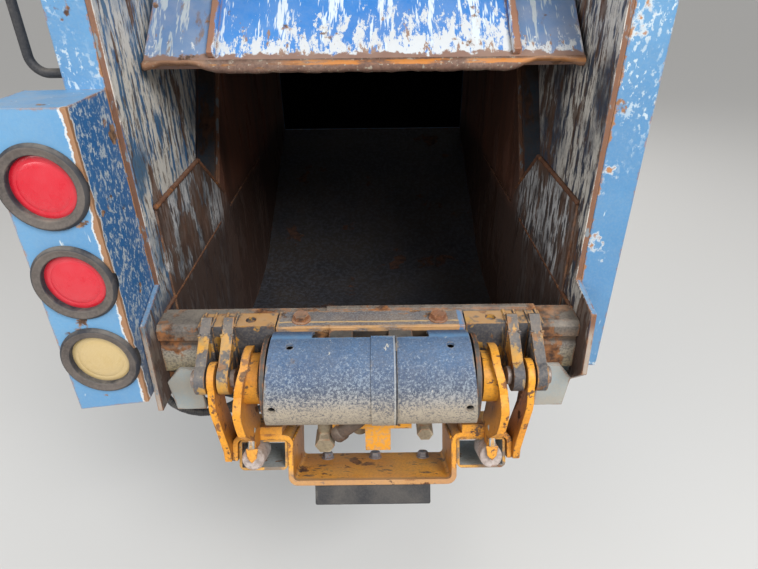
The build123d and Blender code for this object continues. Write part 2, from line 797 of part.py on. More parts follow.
rod_bottom = 400
with BuildPart() as slide_rods:
    for side in (-1, 1):
        with BuildSketch(along_track(side * slide_cylinder_x, slide_cylinder_out, rod_bottom)):
            Circle(slide_rod_radius)
        extrude(amount=beam_along - rod_bottom)
    beam_corners = [
        (beam_y - beam_half, beam_z - beam_half),
        (beam_y + beam_half, beam_z - beam_half),
        (beam_y + beam_half, beam_z + beam_half),
        (beam_y - beam_half, beam_z + beam_half),
    ]
    side_profile(beam_corners, -wall_in, wall_in, mode=Mode.SUBTRACT)
slide_rods.part.label = "slide_rods"
export_step(slide_rods.part, "parts/slide_rods.step")

bar_places = (150, 420, 700)     # cross bars of the slide, up along the tracks
bar_width = 20
bar_out = 5


def bar_outline(along, rear, front):
    """The side view of a bar across the slide, from one distance behind the hinge to another."""
    return [
        packer(along, rear),
        packer(along, front),
        packer(along + bar_width, front),
        packer(along + bar_width, rear),
    ]


# Slide panel: a plate in front of the hinge with side cheeks, a centre rib and cross bars
plate_front = slide_plate_out + slide_plate
cheek_plate = 27
cheek_in = slide_half_width - cheek_plate
cheek = [
    packer(0, -40),
    packer(0, plate_front),
    packer(slide_length, plate_front),
    packer(slide_length, -110),
    packer(700, -160),
    packer(110, -160),
    packer(110, -70),
]
horn_lane = (28, 40)      # clevis plates of a horn, either side of its cylinder
anchor_along = 735
anchor_pin_radius = 14
horn_lean = radians(track_lean - horn_angle)
rod_line = horn_radius * sin(horn_lean)
rod_eye_along = horn_radius * cos(horn_lean)
with BuildPart() as slide_panel:
    side_profile(
        [
            packer(55, slide_plate_out),
            packer(55, plate_front),
            packer(slide_length, plate_front),
            packer(slide_length, slide_plate_out),
        ],
        -cheek_in,
        cheek_in,
    )
    for side in (-1, 1):
        low, high = span(side, cheek_in, slide_half_width)
        side_profile(cheek, low, high)
        side_disc(packer(0, 0), hinge_tube_radius, low, high)
    centre_rib = [packer(0, -40), packer(0, plate_front), packer(300, plate_front), packer(110, -40)]
    side_profile(centre_rib, -14, 14)
    side_disc(packer(0, 0), hinge_tube_radius, -14, 14)
    for along in bar_places:
        side_profile(bar_outline(along, bar_out, slide_plate_out), -cheek_in, cheek_in)
    side_disc(packer(0, 0), hinge_pin_radius, -slide_half_width, slide_half_width, mode=Mode.SUBTRACT)
slide_panel.part.label = "slide_panel"
export_step(slide_panel.part, "parts/slide_panel.step")

# Clevis plates on the slide that the sweep cylinders are pinned in
anchor_lane = (22, 34)
anchor_outline = [
    packer(anchor_along - 40, slide_plate_out),
    packer(anchor_along - 30, rod_line),
    packer(anchor_along + 30, rod_line),
    packer(anchor_along + 40, slide_plate_out),
]
with BuildPart() as cylinder_anchors:
    for side in (-1, 1):
        for lane in (-1, 1):
            low, high = (side * sweep_cylinder_x + x for x in span(lane, *anchor_lane))
            side_profile(anchor_outline, low, high)
            side_disc(packer(anchor_along, rod_line), 32, low, high)
            side_disc(packer(anchor_along, rod_line), anchor_pin_radius, low, high, mode=Mode.SUBTRACT)
    side_profile(
        bar_outline(bar_places[2], bar_out, slide_plate_out), -cheek_in, cheek_in, mode=Mode.SUBTRACT
    )
cylinder_anchors.part.label = "cylinder_anchors"
export_step(cylinder_anchors.part, "parts/cylinder_anchors.step")

# Hinge pin of the sweep, held in the slide
with BuildPart() as sweep_pin:
    side_disc(packer(0, 0), hinge_pin_radius, -slide_half_width - 8, slide_half_width + 8)
sweep_pin.part.label = "sweep_pin"
export_step(sweep_pin.part, "parts/sweep_pin.step")

# Shoes that run in the tracks
with BuildPart() as slide_shoes:
    for side in (-1, 1):
        low, high = span(side, slide_half_width, wall_out + track_recess - shoe_gap)
        for along in (120, 560):
            half = half_track - shoe_gap
            shoe = [
                packer(along, track_offset - half),
                packer(along, track_offset + half),
                packer(along + shoe_length, track_offset + half),
                packer(along + shoe_length, track_offset - half),
            ]
            side_profile(shoe, low, high)
slide_shoes.part.label = "slide_shoes"
export_step(slide_shoes.part, "parts/slide_shoes.step")

# Barrels of the slide cylinders, which travel with the slide
slide_barrel_start = 120
slide_barrel_length = 630
with BuildPart() as slide_barrels:
    for side in (-1, 1):
        x = side * slide_cylinder_x
        with BuildSketch(along_track(x, slide_cylinder_out, slide_barrel_start)):
            Circle(slide_barrel_radius)
        extrude(amount=slide_barrel_length)
        for along in bar_places:
            side_profile(bar_outline(along, slide_cylinder_out, bar_out), x - 25, x + 25)
        with BuildSketch(along_track(x, slide_cylinder_out, slide_barrel_start + 20)):
            Circle(slide_barrel_radius - barrel_wall)
        extrude(amount=slide_barrel_length - 50, mode=Mode.SUBTRACT)
        with BuildSketch(along_track(x, slide_cylinder_out, slide_barrel_start + 20)):
            Circle(slide_rod_radius + 1)
        extrude(amount=slide_barrel_length, mode=Mode.SUBTRACT)
slide_barrels.part.label = "slide_barrels"
export_step(slide_barrels.part, "parts/slide_barrels.step")

# Barrels of the sweep cylinders
sweep_barrel_start = 200
sweep_barrel_length = 490
with BuildPart() as sweep_barrels:
    for side in (-1, 1):
        x = side * sweep_cylinder_x
        with BuildSketch(along_track(x, rod_line, sweep_barrel_start)):
            Circle(sweep_barrel_radius)
        extrude(amount=sweep_barrel_length)
        side_link(
            packer(sweep_barrel_start + sweep_barrel_length - 5, rod_line),
            packer(anchor_along, rod_line),
            26,
            x - 21,
            x + 21,
        )
        side_disc(packer(anchor_along, rod_line), anchor_pin_radius, x - 38, x + 38)
        with BuildSketch(along_track(x, rod_line, sweep_barrel_start + 30)):
            Circle(sweep_barrel_radius - barrel_wall)
        extrude(amount=sweep_barrel_length - 50, mode=Mode.SUBTRACT)
        with BuildSketch(along_track(x, rod_line, sweep_barrel_start)):
            Circle(sweep_rod_radius + 1)
        extrude(amount=60, mode=Mode.SUBTRACT)
sweep_barrels.part.label = "sweep_barrels"
export_step(sweep_barrels.part, "parts/sweep_barrels.step")

# Rods of the sweep cylinders
rod_length = 420
with BuildPart() as sweep_rods:
    for side in (-1, 1):
        x = side * sweep_cylinder_x
        with BuildSketch(along_track(x, rod_line, rod_eye_along)):
            Circle(sweep_rod_radius)
        extrude(amount=rod_length)
        eye = packer(rod_eye_along, rod_line)
        side_disc(eye, 30, x - 12, x + 12)
        side_disc(eye, 16, x - 12, x + 12, mode=Mode.SUBTRACT)
sweep_rods.part.label = "sweep_rods"
export_step(sweep_rods.part, "parts/sweep_rods.step")

# Sweep panel: a box-section blade on two hinge tubes, with ribs down its rear face
blade_outline = [
    from_hinge(-707, -261),
    from_hinge(-513, -99),
    from_hinge(-293, 68),
    from_hinge(-123, 103),
    from_hinge(-23, 51),
    from_hinge(37, -25),
    from_hinge(7, -53),
    from_hinge(-173, -105),
    from_hinge(-383, -185),
    from_hinge(-563, -247),
    from_hinge(-693, -275),
]
blade_rib = [
    from_hinge(-703, -257),
    from_hinge(-513, -99),
    from_hinge(-293, 68),
    from_hinge(-301, 78),
    from_hinge(-521, -89),
    from_hinge(-711, -247),
]
rib_x = blade_half_width - 111
rib_plate = 12
with BuildPart() as sweep_panel:
    side_profile(blade_outline, -blade_half_width, blade_half_width)
    for start, end in (
        (-blade_half_width, -cheek_in + shoe_gap),
        (-14 - shoe_gap, 14 + shoe_gap),
        (cheek_in - shoe_gap, blade_half_width),
    ):
        side_disc(packer(0, 0), hinge_tube_radius + shoe_gap, start, end, mode=Mode.SUBTRACT)
        side_profile(
            [packer(-70, 80), packer(120, 80), packer(120, -60), packer(-70, -60)],
            start,
            end,
            mode=Mode.SUBTRACT,
        )
    for start, end in ((-cheek_in + shoe_gap, -14 - shoe_gap), (14 + shoe_gap, cheek_in - shoe_gap)):
        side_disc(packer(0, 0), hinge_tube_radius, start, end)
    for side in (-1, 1):
        side_profile(blade_rib, side * rib_x - rib_plate / 2, side * rib_x + rib_plate / 2)
    side_disc(
        packer(0, 0), hinge_pin_radius + pin_gap, -blade_half_width, blade_half_width, mode=Mode.SUBTRACT
    )
sweep_panel.part.label = "sweep_panel"
export_step(sweep_panel.part, "parts/sweep_panel.step")

# Horns that the sweep cylinders push
horn_end = packer(rod_eye_along, rod_line)
horn_outline = [horn_end, from_hinge(-253, 77), from_hinge(-123, 103), from_hinge(-33, 55), packer(60, -60)]
with BuildPart() as sweep_horns:
    for side in (-1, 1):
        for start, end in (horn_lane, (-horn_lane[1], -horn_lane[0])):
            low, high = side * sweep_cylinder_x + start, side * sweep_cylinder_x + end
            side_profile(horn_outline, low, high)
            side_disc(horn_end, 32, low, high)
            side_profile(blade_outline, low, high, mode=Mode.SUBTRACT)
            side_disc(packer(0, 0), hinge_tube_radius, low, high, mode=Mode.SUBTRACT)
            side_disc(horn_end, 16, low, high, mode=Mode.SUBTRACT)
sweep_horns.part.label = "sweep_horns"
export_step(sweep_horns.part, "parts/sweep_horns.step")

# Wear edge along the blade, lower in the middle
with BuildPart() as sweep_lip:
    for low, high, drop in (
        (-blade_half_width, -rib_x, 0),
        (-rib_x, rib_x, 8),
        (rib_x, blade_half_width, 0),
    ):
        edge_line = [
            from_hinge(-707, -261),
            from_hinge(-693, -275),
            from_hinge(-705, -281 - drop / 2),
            from_hinge(-714, -267 - drop),
        ]
        side_profile(edge_line, low, high)
sweep_lip.part.label = "sweep_lip"
export_step(sweep_lip.part, "parts/sweep_lip.step")

# Tipper swing frame: two drive arms on the actuator's shaft
shaft_radius = 42
fall = radians(saddle_fall)


def saddle_point(back, up):
    """A point of the side view, forward along the saddle and square up from its rear lower edge."""
    return at(
        saddle_edge[0] + back * cos(fall) + up * sin(fall),
        saddle_edge[1] - back * sin(fall) + up * cos(fall),
    )


saddle_plane = Plane(
    origin=(tipper_x, *saddle_point(0, 0)),
    x_dir=(1, 0, 0),
    z_dir=(0, -cos(fall), sin(fall)),
)
stud_y, stud_z = at(*stud_place)
stud_plane = Plane(origin=(tipper_x, stud_y, stud_z), x_dir=(1, 0, 0), z_dir=(0, -cos(fall), sin(fall)))
stud_x = drive_arm_x + drive_arm_plate / 2
stud_length = 60


def stud_point(back, up):
    """A point of the side view, forward along the stud and square up from its middle."""
    return (stud_y + back * cos(fall) + up * sin(fall), stud_z - back * sin(fall) + up * cos(fall))


drive_arm = [
    (tipper_y - 54, tipper_z + 5),
    (tipper_y - 70, tipper_z - 20),
    (tipper_y - 73, tipper_z - 60),
    stud_point(-6, stud_radius + 10),
    stud_point(-2, stud_radius - 6),
    stud_point(20, 0),
    (tipper_y + 20, tipper_z - 55),
]
ledge = [
    saddle_point(0, saddle_pocket_height + saddle_plate / 2),
    saddle_point(0, saddle_pocket_height + saddle_plate / 2 + 14),
    saddle_point(60, saddle_pocket_height + saddle_plate / 2 + 14),
    saddle_point(60, saddle_pocket_height + saddle_plate / 2),
]
arm_bow = 12                     # the drive arms bulge outwards beside the drum
bow_top, bow_middle, bow_low = tipper_z + 45, tipper_z - 20, tipper_z - 85
hub_radius = 54
with BuildPart() as drive_arms:
    for side in (-1, 1):
        near, far = (tipper_x + side * x for x in (drive_arm_x, drive_arm_x + drive_arm_plate))
        with BuildSketch(Plane.XZ.offset(-tipper_y - 100)):
            with BuildLine():
                Polyline((near, bow_top), (near, tipper_z + 60), (far, tipper_z + 60), (far, bow_top))
                ThreePointArc((far, bow_top), (far + side * arm_bow, bow_middle), (far, bow_low))
                Polyline((far, bow_low), (far, tipper_z - 200), (near, tipper_z - 200), (near, bow_low))
                ThreePointArc((near, bow_low), (near + side * arm_bow, bow_middle), (near, bow_top))
            make_face()
        extrude(amount=250)
    with BuildSketch(Plane.YZ.offset(-400)):
        with BuildLine():
            Polyline(*drive_arm, close=True)
        make_face()
        with Locations((tipper_y, tipper_z)):
            Circle(hub_radius)
    extrude(amount=800, mode=Mode.INTERSECT)
    for side in (-1, 1):
        near, far = span(side, drum_half_length + 19, drive_arm_x + arm_bow)
        side_disc((tipper_y, tipper_z), shaft_radius, tipper_x + near, tipper_x + far)
        near, far = span(side, saddle_inner_x + 14, drive_arm_x)
        side_profile(ledge, tipper_x + near, tipper_x + far)
    with BuildSketch(stud_plane.offset(10)):
        with Locations((-stud_x, 0), (stud_x, 0)):
            Circle(stud_radius)
    extrude(amount=-stud_length - 10, mode=Mode.SUBTRACT)
drive_arms.part.label = "drive_arms"
export_step(drive_arms.part, "parts/drive_arms.step")

# Saddle: a strap folded to a deep tray with a pocket on each side
saddle_line = [
    (-saddle_outer_x, 40),
    (-saddle_outer_x, saddle_pocket_height),
    (-saddle_inner_x, saddle_pocket_height),
    (-saddle_inner_x, 0),
    (saddle_inner_x, 0),
    (saddle_inner_x, saddle_pocket_height),
    (saddle_outer_x, saddle_pocket_height),
    (saddle_outer_x, 40),
]
with BuildPart() as tipper_saddle:
    with BuildSketch(saddle_plane):
        with BuildLine() as fold:
            FilletPolyline(*saddle_line, radius=12)
        trace(fold.edges(), saddle_plate)
    extrude(amount=-saddle_length)
    for side in (-1, 1):
        low, high = span(side, drive_arm_x, drive_arm_x + drive_arm_plate)
        side_profile(drive_arm, tipper_x + low, tipper_x + high, mode=Mode.SUBTRACT)
tipper_saddle.part.label = "tipper_saddle"
export_step(tipper_saddle.part, "parts/tipper_saddle.step")

# Square tubes in the pockets, open to the rear
tube_wall = 5
tube_width = saddle_outer_x - saddle_inner_x - saddle_plate - 2
tube_height = 54
tube_corner = 10
tube_x = (saddle_inner_x + saddle_outer_x) / 2
tube_up = saddle_pocket_height - (saddle_plate + tube_height) / 2
with BuildPart() as pocket_tubes:
    with BuildSketch(saddle_plane.offset(-6)):
        with Locations((-tube_x, tube_up), (tube_x, tube_up)):
            RectangleRounded(tube_width, tube_height, tube_corner)
            Rectangle(tube_width - 2 * tube_wall, tube_height - 2 * tube_wall, mode=Mode.SUBTRACT)
    extrude(amount=6 - saddle_length)
    for side in (-1, 1):
        low, high = span(side, drive_arm_x, drive_arm_x + drive_arm_plate)
        side_profile(drive_arm, tipper_x + low, tipper_x + high, mode=Mode.SUBTRACT)
    with BuildSketch(stud_plane.offset(10)):
        with Locations((-stud_x, 0), (stud_x, 0)):
            Circle(stud_radius)
    extrude(amount=-stud_length - 10, mode=Mode.SUBTRACT)
pocket_tubes.part.label = "pocket_tubes"
export_step(pocket_tubes.part, "parts/pocket_tubes.step")

# Outer arms from the clevis pivots to the saddle's outer walls
arm_x = (inner_ear_x + ear_plate + outer_ear_x - arm_plate) / 2
arm_low_x = saddle_outer_x + saddle_plate / 2
slant_top, slant_low = tipper_z - 30, tipper_z - 122
with BuildPart() as outer_arms:
    for side in (-1, 1):
        with BuildSketch(Plane.XZ.offset(-tipper_y - 100)):
            with BuildLine():
                Polyline(
                    (tipper_x + side * arm_x, tipper_z + 40),
                    (tipper_x + side * (arm_x + arm_plate), tipper_z + 40),
                    (tipper_x + side * (arm_x + arm_plate), slant_top),
                    (tipper_x + side * (arm_low_x + arm_plate), slant_low),
                    (tipper_x + side * (arm_low_x + arm_plate), tipper_z - 200),
                    (tipper_x + side * arm_low_x, tipper_z - 200),
                    (tipper_x + side * arm_low_x, slant_low),
                    (tipper_x + side * arm_x, slant_top),
                    close=True,
                )
            make_face()
        extrude(amount=250)
    with BuildSketch(Plane.YZ.offset(-400)):
        with BuildLine():
            Polyline(
                (tipper_y + 26, tipper_z),
                (tipper_y + 6, tipper_z - 60),
                saddle_point(60, 50),
                saddle_point(-4, 40),
                (tipper_y - 40, tipper_z - 40),
                (tipper_y - 26, tipper_z),
                close=True,
            )
        make_face()
        with Locations((tipper_y, tipper_z)):
            Circle(28)
            Circle(pivot_bolt_radius + pin_gap, mode=Mode.SUBTRACT)
    extrude(amount=800, mode=Mode.INTERSECT)
outer_arms.part.label = "outer_arms"
export_step(outer_arms.part, "parts/outer_arms.step")

# Studs that the cart's bar is latched on, under the drive arms
with BuildPart() as saddle_studs:
    with BuildSketch(stud_plane.offset(4)):
        with Locations((-stud_x, 0), (stud_x, 0)):
            Circle(stud_radius)
    extrude(amount=-stud_length)
saddle_studs.part.label = "saddle_studs"
export_step(saddle_studs.part, "parts/saddle_studs.step")

# Rubber buffer under the saddle's rear edge
buffer_height = 38
buffer_half = 100
with BuildPart() as saddle_buffer:
    with BuildSketch(saddle_plane.offset(-8)):
        with Locations((0, -(saddle_plate + buffer_height) / 2)):
            Rectangle(2 * buffer_half, buffer_height)
    extrude(amount=-30)
saddle_buffer.part.label = "saddle_buffer"
export_step(saddle_buffer.part, "parts/saddle_buffer.step")

print("built", len(os.listdir("parts")), "files")
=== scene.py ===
import json
import math

import bmesh
import bpy
import numpy as np
from mathutils import Euler, Matrix, Vector


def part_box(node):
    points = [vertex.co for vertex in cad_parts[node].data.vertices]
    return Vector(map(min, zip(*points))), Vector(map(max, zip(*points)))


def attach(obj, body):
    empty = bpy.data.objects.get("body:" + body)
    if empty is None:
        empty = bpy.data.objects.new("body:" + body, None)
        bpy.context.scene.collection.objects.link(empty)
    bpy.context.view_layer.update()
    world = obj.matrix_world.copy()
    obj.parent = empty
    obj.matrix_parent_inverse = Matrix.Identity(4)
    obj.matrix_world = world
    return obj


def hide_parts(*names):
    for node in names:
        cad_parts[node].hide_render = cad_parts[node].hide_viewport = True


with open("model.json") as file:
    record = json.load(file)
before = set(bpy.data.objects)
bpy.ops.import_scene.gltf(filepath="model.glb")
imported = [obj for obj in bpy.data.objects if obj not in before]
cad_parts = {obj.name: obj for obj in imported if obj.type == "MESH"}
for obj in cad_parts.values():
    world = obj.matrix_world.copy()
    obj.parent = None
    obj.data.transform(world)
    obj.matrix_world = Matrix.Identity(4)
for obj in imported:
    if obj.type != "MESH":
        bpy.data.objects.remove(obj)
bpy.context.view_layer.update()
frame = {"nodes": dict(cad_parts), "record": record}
nodes = frame["nodes"]
record = frame["record"]
scene = bpy.context.scene
bodyOf = {node: body for body, members in record["behaviour"]["bodies"].items() for node in members}
slotOf = {row["node"]: row["material_slot"] for row in record["subparts"]}

# Where the measuring planes are: the posts' rear face and the sill's top
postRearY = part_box("left_post")[0].y
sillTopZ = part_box("hopper_floor")[1].z
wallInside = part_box("rear_sill")[1].x
tipperX = (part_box("tipper_mount_bar")[0].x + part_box("tipper_mount_bar")[1].x) / 2


def at(x, y, z):
    # metres from the middle, forward of the posts' rear face, above the sill's top
    return Vector((x, postRearY + y, sillTopZ + z))


# Camera, as the photograph was taken: above the sill, looking down into the hopper
cameraSet = {
    "place": (0.02, -0.85, 0.535),
    "tilt": 60.1,
    "roll": -0.7,
    "focalPixels": 555.0,
    "imageWidth": 758.0,
    "sensor": 36.0,
}


def makeCamera(settings):
    data = bpy.data.cameras.new("camera")
    data.sensor_width = settings["sensor"]
    data.lens = settings["sensor"] * settings["focalPixels"] / settings["imageWidth"]
    data.clip_start, data.clip_end = 0.01, 60.0
    camera = bpy.data.objects.new("camera", data)
    scene.collection.objects.link(camera)
    turn = Euler((math.radians(settings["tilt"]), 0.0, 0.0)).to_matrix()
    roll = Matrix.Rotation(math.radians(settings["roll"]), 3, "Z")
    camera.matrix_world = Matrix.Translation(at(*settings["place"])) @ (turn @ roll).to_4x4()
    scene.camera = camera


makeCamera(cameraSet)

# Small helpers that add shader nodes to the group or material that was begun last
drawing = {"tree": None}


class Value:
    # what a shader node puts out; the signs + - * and abs() add math nodes
    def __init__(self, socket):
        self.socket = socket

    def __add__(self, other):
        return calc("ADD", self, other)

    def __sub__(self, other):
        return calc("SUBTRACT", self, other)

    def __rsub__(self, other):
        return calc("SUBTRACT", other, self)

    def __mul__(self, other):
        return calc("MULTIPLY", self, other)

    def __abs__(self):
        return calc("ABSOLUTE", self)


def plug(node, name, value):
    if isinstance(value, Value):
        drawing["tree"].links.new(value.socket, node.inputs[name])
    else:
        node.inputs[name].default_value = value


def addNode(kind, inputs=None, **options):
    made = drawing["tree"].nodes.new("ShaderNode" + kind)
    for name, value in options.items():
        setattr(made, name, value)
    for name, value in (inputs or {}).items():
        plug(made, name, value)
    return made


def newValue(kind, inputs=None, output=0, **options):
    return Value(addNode(kind, inputs, **options).outputs[output])


def calc(operation, *values):
    return newValue("Math", dict(enumerate(values)), operation=operation)


def line(value, slope, start):
    return calc("MULTIPLY_ADD", value, slope, start)


def vectorCalc(operation, *values, output=0):
    return newValue("VectorMath", dict(enumerate(values)), output, operation=operation)


def spread(value, low, high, atLow, atHigh):
    # runs straight from atLow to atHigh while the value runs from low to high
    inputs = {"Value": value, "From Min": low, "From Max": high, "To Min": atLow, "To Max": atHigh}
    return newValue("MapRange", inputs)


def ramp(value, low, high):
    # 0 under low, 1 over high, smooth between them
    inputs = {"Value": value, "From Min": low, "From Max": high}
    return newValue("MapRange", inputs, interpolation_type="SMOOTHSTEP")


def fall(value, low, high):
    # 1 under low, 0 over high
    return 1.0 - ramp(value, low, high)


def blend(factor, first, second):
    # two colours, each another blend or three numbers
    colours = [part if isinstance(part, Value) else (*part, 1.0) for part in (first, second)]
    return newValue("Mix", {0: factor, 6: colours[0], 7: colours[1]}, 2, data_type="RGBA")


def mixNumber(factor, first, second):
    return newValue("Mix", {0: factor, 2: first, 3: second}, data_type="FLOAT")


def noiseAt(place, scale, detail, roughness):
    inputs = {"Vector": place, "Scale": scale, "Detail": detail, "Roughness": roughness}
    return newValue("TexNoise", inputs)


def objectPlace():
    return newValue("TexCoord", output="Object")


def parts(vector):
    return [Value(socket) for socket in addNode("SeparateXYZ", {0: vector}).outputs]


def placeParts():
    return parts(objectPlace())


def normalParts():
    return parts(newValue("NewGeometry", output="Normal"))


def newMaterial(name):
    material = bpy.data.materials.new(name)
    material.use_nodes = True
    drawing["tree"] = material.node_tree
    return material, material.node_tree.nodes["Principled BSDF"]


# Shader groups, each of which puts out one mask


def newGroup(name, draw, **inputs):
    # draw makes the mask from the group's inputs
    tree = drawing["tree"] = bpy.data.node_groups.new(name, "ShaderNodeTree")
    for label, value in inputs.items():
        kind = "NodeSocketVector" if isinstance(value, tuple) else "NodeSocketFloat"
        tree.interface.new_socket(label, in_out="INPUT", socket_type=kind).default_value = value
    tree.interface.new_socket("Mask", in_out="OUTPUT", socket_type="NodeSocketFloat")
    sockets = tree.nodes.new("NodeGroupInput").outputs
    mask = draw({label: Value(sockets[label]) for label in inputs})
    plug(tree.nodes.new("NodeGroupOutput"), "Mask", mask)
    return tree


def drawPatches(taken):
    # noise above a level that falls as the coverage grows, with a soft border
    moved = vectorCalc("ADD", vectorCalc("MULTIPLY", objectPlace(), taken["Stretch"]), taken["Shift"])
    noise = noiseAt(moved, taken["Scale"], 9.0, 0.62)
    level = line(taken["Coverage"], -0.44, 0.72)
    return ramp(noise, line(taken["Softness"], -0.5, level), line(taken["Softness"], 0.5, level))


def drawScratches(taken):
    # two layers of long thin noise, turned a little against each other about X, Y and Z
    layers = []
    for way, shift in ((1.0, 0.0), (-1.6, 7.3)):
        inputs = {"Vector": objectPlace(), "Axis": (0.5, 0.6, 0.62), "Angle": taken["Turn"] * way}
        stretched = vectorCalc("MULTIPLY", newValue("VectorRotate", inputs), taken["Stretch"])
        moved = vectorCalc("ADD", stretched, (shift, shift, shift))
        layers.append(noiseAt(moved, taken["Scale"], 4.0, 0.75))
    level = line(taken["Coverage"], -0.36, 0.8)
    return ramp(calc("MAXIMUM", *layers), level, level + 0.03)


def drawEdges(taken):
    # how far the rounded normal leans from the surface's own, broken up by noise
    rounded = newValue("Bevel", {"Radius": taken["Radius"]}, samples=6)
    own = newValue("NewGeometry", output="Normal")
    lean = 1.0 - vectorCalc("DOT_PRODUCT", rounded, own, output=1)
    noise = noiseAt(objectPlace(), taken["Scale"], 8.0, 0.7)
    broken = lean * 3.6 * taken["Amount"] + line(noise, 4.4, -2.5)
    return ramp(broken, 0.0, 0.18) * ramp(lean, 0.004, 0.03)


def drawDust(taken):
    # dust lies on what faces up, more in the hollows of the noise
    noise = noiseAt(objectPlace(), taken["Scale"], 8.0, 0.7)
    facing = calc("MAXIMUM", ramp(normalParts()[2], 0.1, 0.9), taken["Everywhere"])
    return facing * ramp(noise, 0.35, 0.62) * taken["Amount"]


unmoved, even = (0.0, 0.0, 0.0), (1.0, 1.0, 1.0)
patches = newGroup("patches", drawPatches, Scale=8.0, Coverage=0.5, Softness=0.05, Stretch=even, Shift=unmoved)
scratches = newGroup("scratches", drawScratches, Scale=30.0, Coverage=0.3, Stretch=(1.0, 1.0, 0.05), Turn=0.12)
edges = newGroup("edges", drawEdges, Radius=0.006, Amount=1.0, Scale=30.0)
dust = newGroup("dust", drawDust, Amount=0.5, Scale=12.0, Everywhere=0.0)


def useMask(group, **inputs):
    return newValue("Group", inputs, "Mask", node_tree=group)


def patch(scale, coverage, softness, stretch=even, shift=unmoved):
    return useMask(patches, Scale=scale, Coverage=coverage, Softness=softness, Stretch=stretch, Shift=shift)


# What every worn material starts from, which each surface below changes in part
plainLook = {
    "paint": (0.19, 0.38, 0.58),
    "paintOther": (0.14, 0.31, 0.52),
    "toneScale": 2.5,
    "speck": 0.3,
    "speckScale": 220.0,
    "speckColour": (0.07, 0.08, 0.09),
    "scratch": 0.0,
    "scratchScale": 26.0,
    "scratchStretch": (1.0, 1.0, 0.06),
    "scratchColour": (0.62, 0.66, 0.68),
    "rust": 0.1,
    "rustScale": 7.0,
    "rustStretch": (1.0, 1.0, 1.0),
    "rustDark": (0.05, 0.022, 0.013),
    "rustLight": (0.3, 0.115, 0.035),
    "edge": 0.8,
    "edgeRadius": 0.007,
    "edgeColour": (0.24, 0.1, 0.045),
    "dust": 0.25,
    "dustScale": 14.0,
    "dustAll": 0.15,
    "dustColour": (0.45, 0.39, 0.31),
    "rough": 0.42,
    "rustRough": 0.88,
    "metal": 0.0,
    "coat": 0.0,
    "bumpDepth": 0.0012,
    "dent": 0.0,
    "bands": None,
    "fleck": 0.0,
    "fleckScale": 110.0,
    "fleckColour": (0.6, 0.62, 0.62),
    "marks": None,
}


def wornColours(look):
    # paint in two tones, speckled, scratched, rusted in patches and along edges, then dusty
    tone = patch(look["toneScale"], 0.5, 0.3)
    base = look["bands"]() if look["bands"] else look["paint"]
    colour = blend(tone, base, look["paintOther"])
    if look["bands"]:
        colour = blend(0.22, base, colour)
    speck = patch(look["speckScale"], 0.45, 0.16)
    colour = blend(speck * look["speck"], colour, look["speckColour"])
    if look["fleck"]:
        fleck = patch(look["fleckScale"], look["fleck"], 0.05, shift=(1.3, 6.1, 2.9))
        colour = blend(fleck * 0.75, colour, look["fleckColour"])
    if look["scratch"]:
        thin = useMask(
            scratches, Scale=look["scratchScale"], Coverage=look["scratch"], Stretch=look["scratchStretch"]
        )
        colour = blend(thin, colour, look["scratchColour"])
    if look["marks"]:
        colour = look["marks"](colour)
    spots = patch(look["rustScale"], look["rust"], 0.035, stretch=look["rustStretch"], shift=(3.1, 1.7, 0.4))
    rim = useMask(edges, Radius=look["edgeRadius"], Amount=look["edge"], Scale=32.0)
    grain = patch(60.0, 0.5, 0.3, shift=(5.0, 2.0, 8.0))
    colour = blend(spots, colour, blend(grain, look["rustDark"], look["rustLight"]))
    colour = blend(rim, colour, blend(grain, look["edgeColour"], look["rustLight"]))
    bare = calc("MAXIMUM", spots, rim)
    lying = useMask(dust, Amount=look["dust"], Scale=look["dustScale"], Everywhere=look["dustAll"])
    colour = blend(lying, colour, look["dustColour"])
    return colour, bare, grain, lying


def roughen(shader, strength, depth, height):
    plug(shader, "Normal", newValue("Bump", {"Strength": strength, "Distance": depth, "Height": height}))


def wornSurface(name, base=plainLook, **changes):
    look = {**plainLook, **base, **changes}
    material, shader = newMaterial(name)
    colour, bare, grain, lying = wornColours(look)
    plug(shader, "Base Color", colour)
    rough = mixNumber(bare, look["rough"], look["rustRough"])
    rough = mixNumber(lying, rough, 0.95)
    plug(shader, "Roughness", mixNumber(grain * 0.15, rough, 0.7))
    if look["metal"]:
        plug(shader, "Metallic", (1.0 - calc("MAXIMUM", bare, lying)) * look["metal"])
    plug(shader, "Coat Weight", look["coat"])
    height = line(bare, -0.55, grain * 0.28) + lying * 0.2
    if look["dent"]:
        height = line(patch(5.5, 0.5, 0.9, shift=(9.0, 4.0, 2.0)), look["dent"], height)
    roughen(shader, 0.5, look["bumpDepth"], height)
    return material


def zBands(stops, low, high, ripple=0.004):
    # a colour for each height above the sill's top, the borders rippled by noise
    def build():
        z = placeParts()[2] + line(noiseAt(objectPlace(), 14.0, 6.0, 0.7), 2 * ripple, -ripple)
        span = high - low
        share = line(z, 1.0 / span, -(sillTopZ + low) / span)
        made = addNode("ValToRGB", {0: share})
        elements = made.color_ramp.elements
        while len(elements) < len(stops):
            elements.new(0.5)
        for element, (height, colour) in zip(elements, stops):
            element.position = (height - low) / span
            element.color = (*colour, 1.0)
        return Value(made.outputs[0])

    return build


def ragged(value, amount, scale):
    # the value pushed up and down by noise, so that a border drawn from it is ragged
    noise = noiseAt(vectorCalc("MULTIPLY", objectPlace(), even), scale, 8.0, 0.65)
    return value + line(noise, 2 * amount, -amount)


def nearEdge(value, edge, width):
    # 1 within the width of a plane at the edge's coordinate
    return fall(abs(value - edge), width * 0.7, width)


chipWhite = (0.62, 0.65, 0.67)
chipRust = (0.36, 0.17, 0.075)


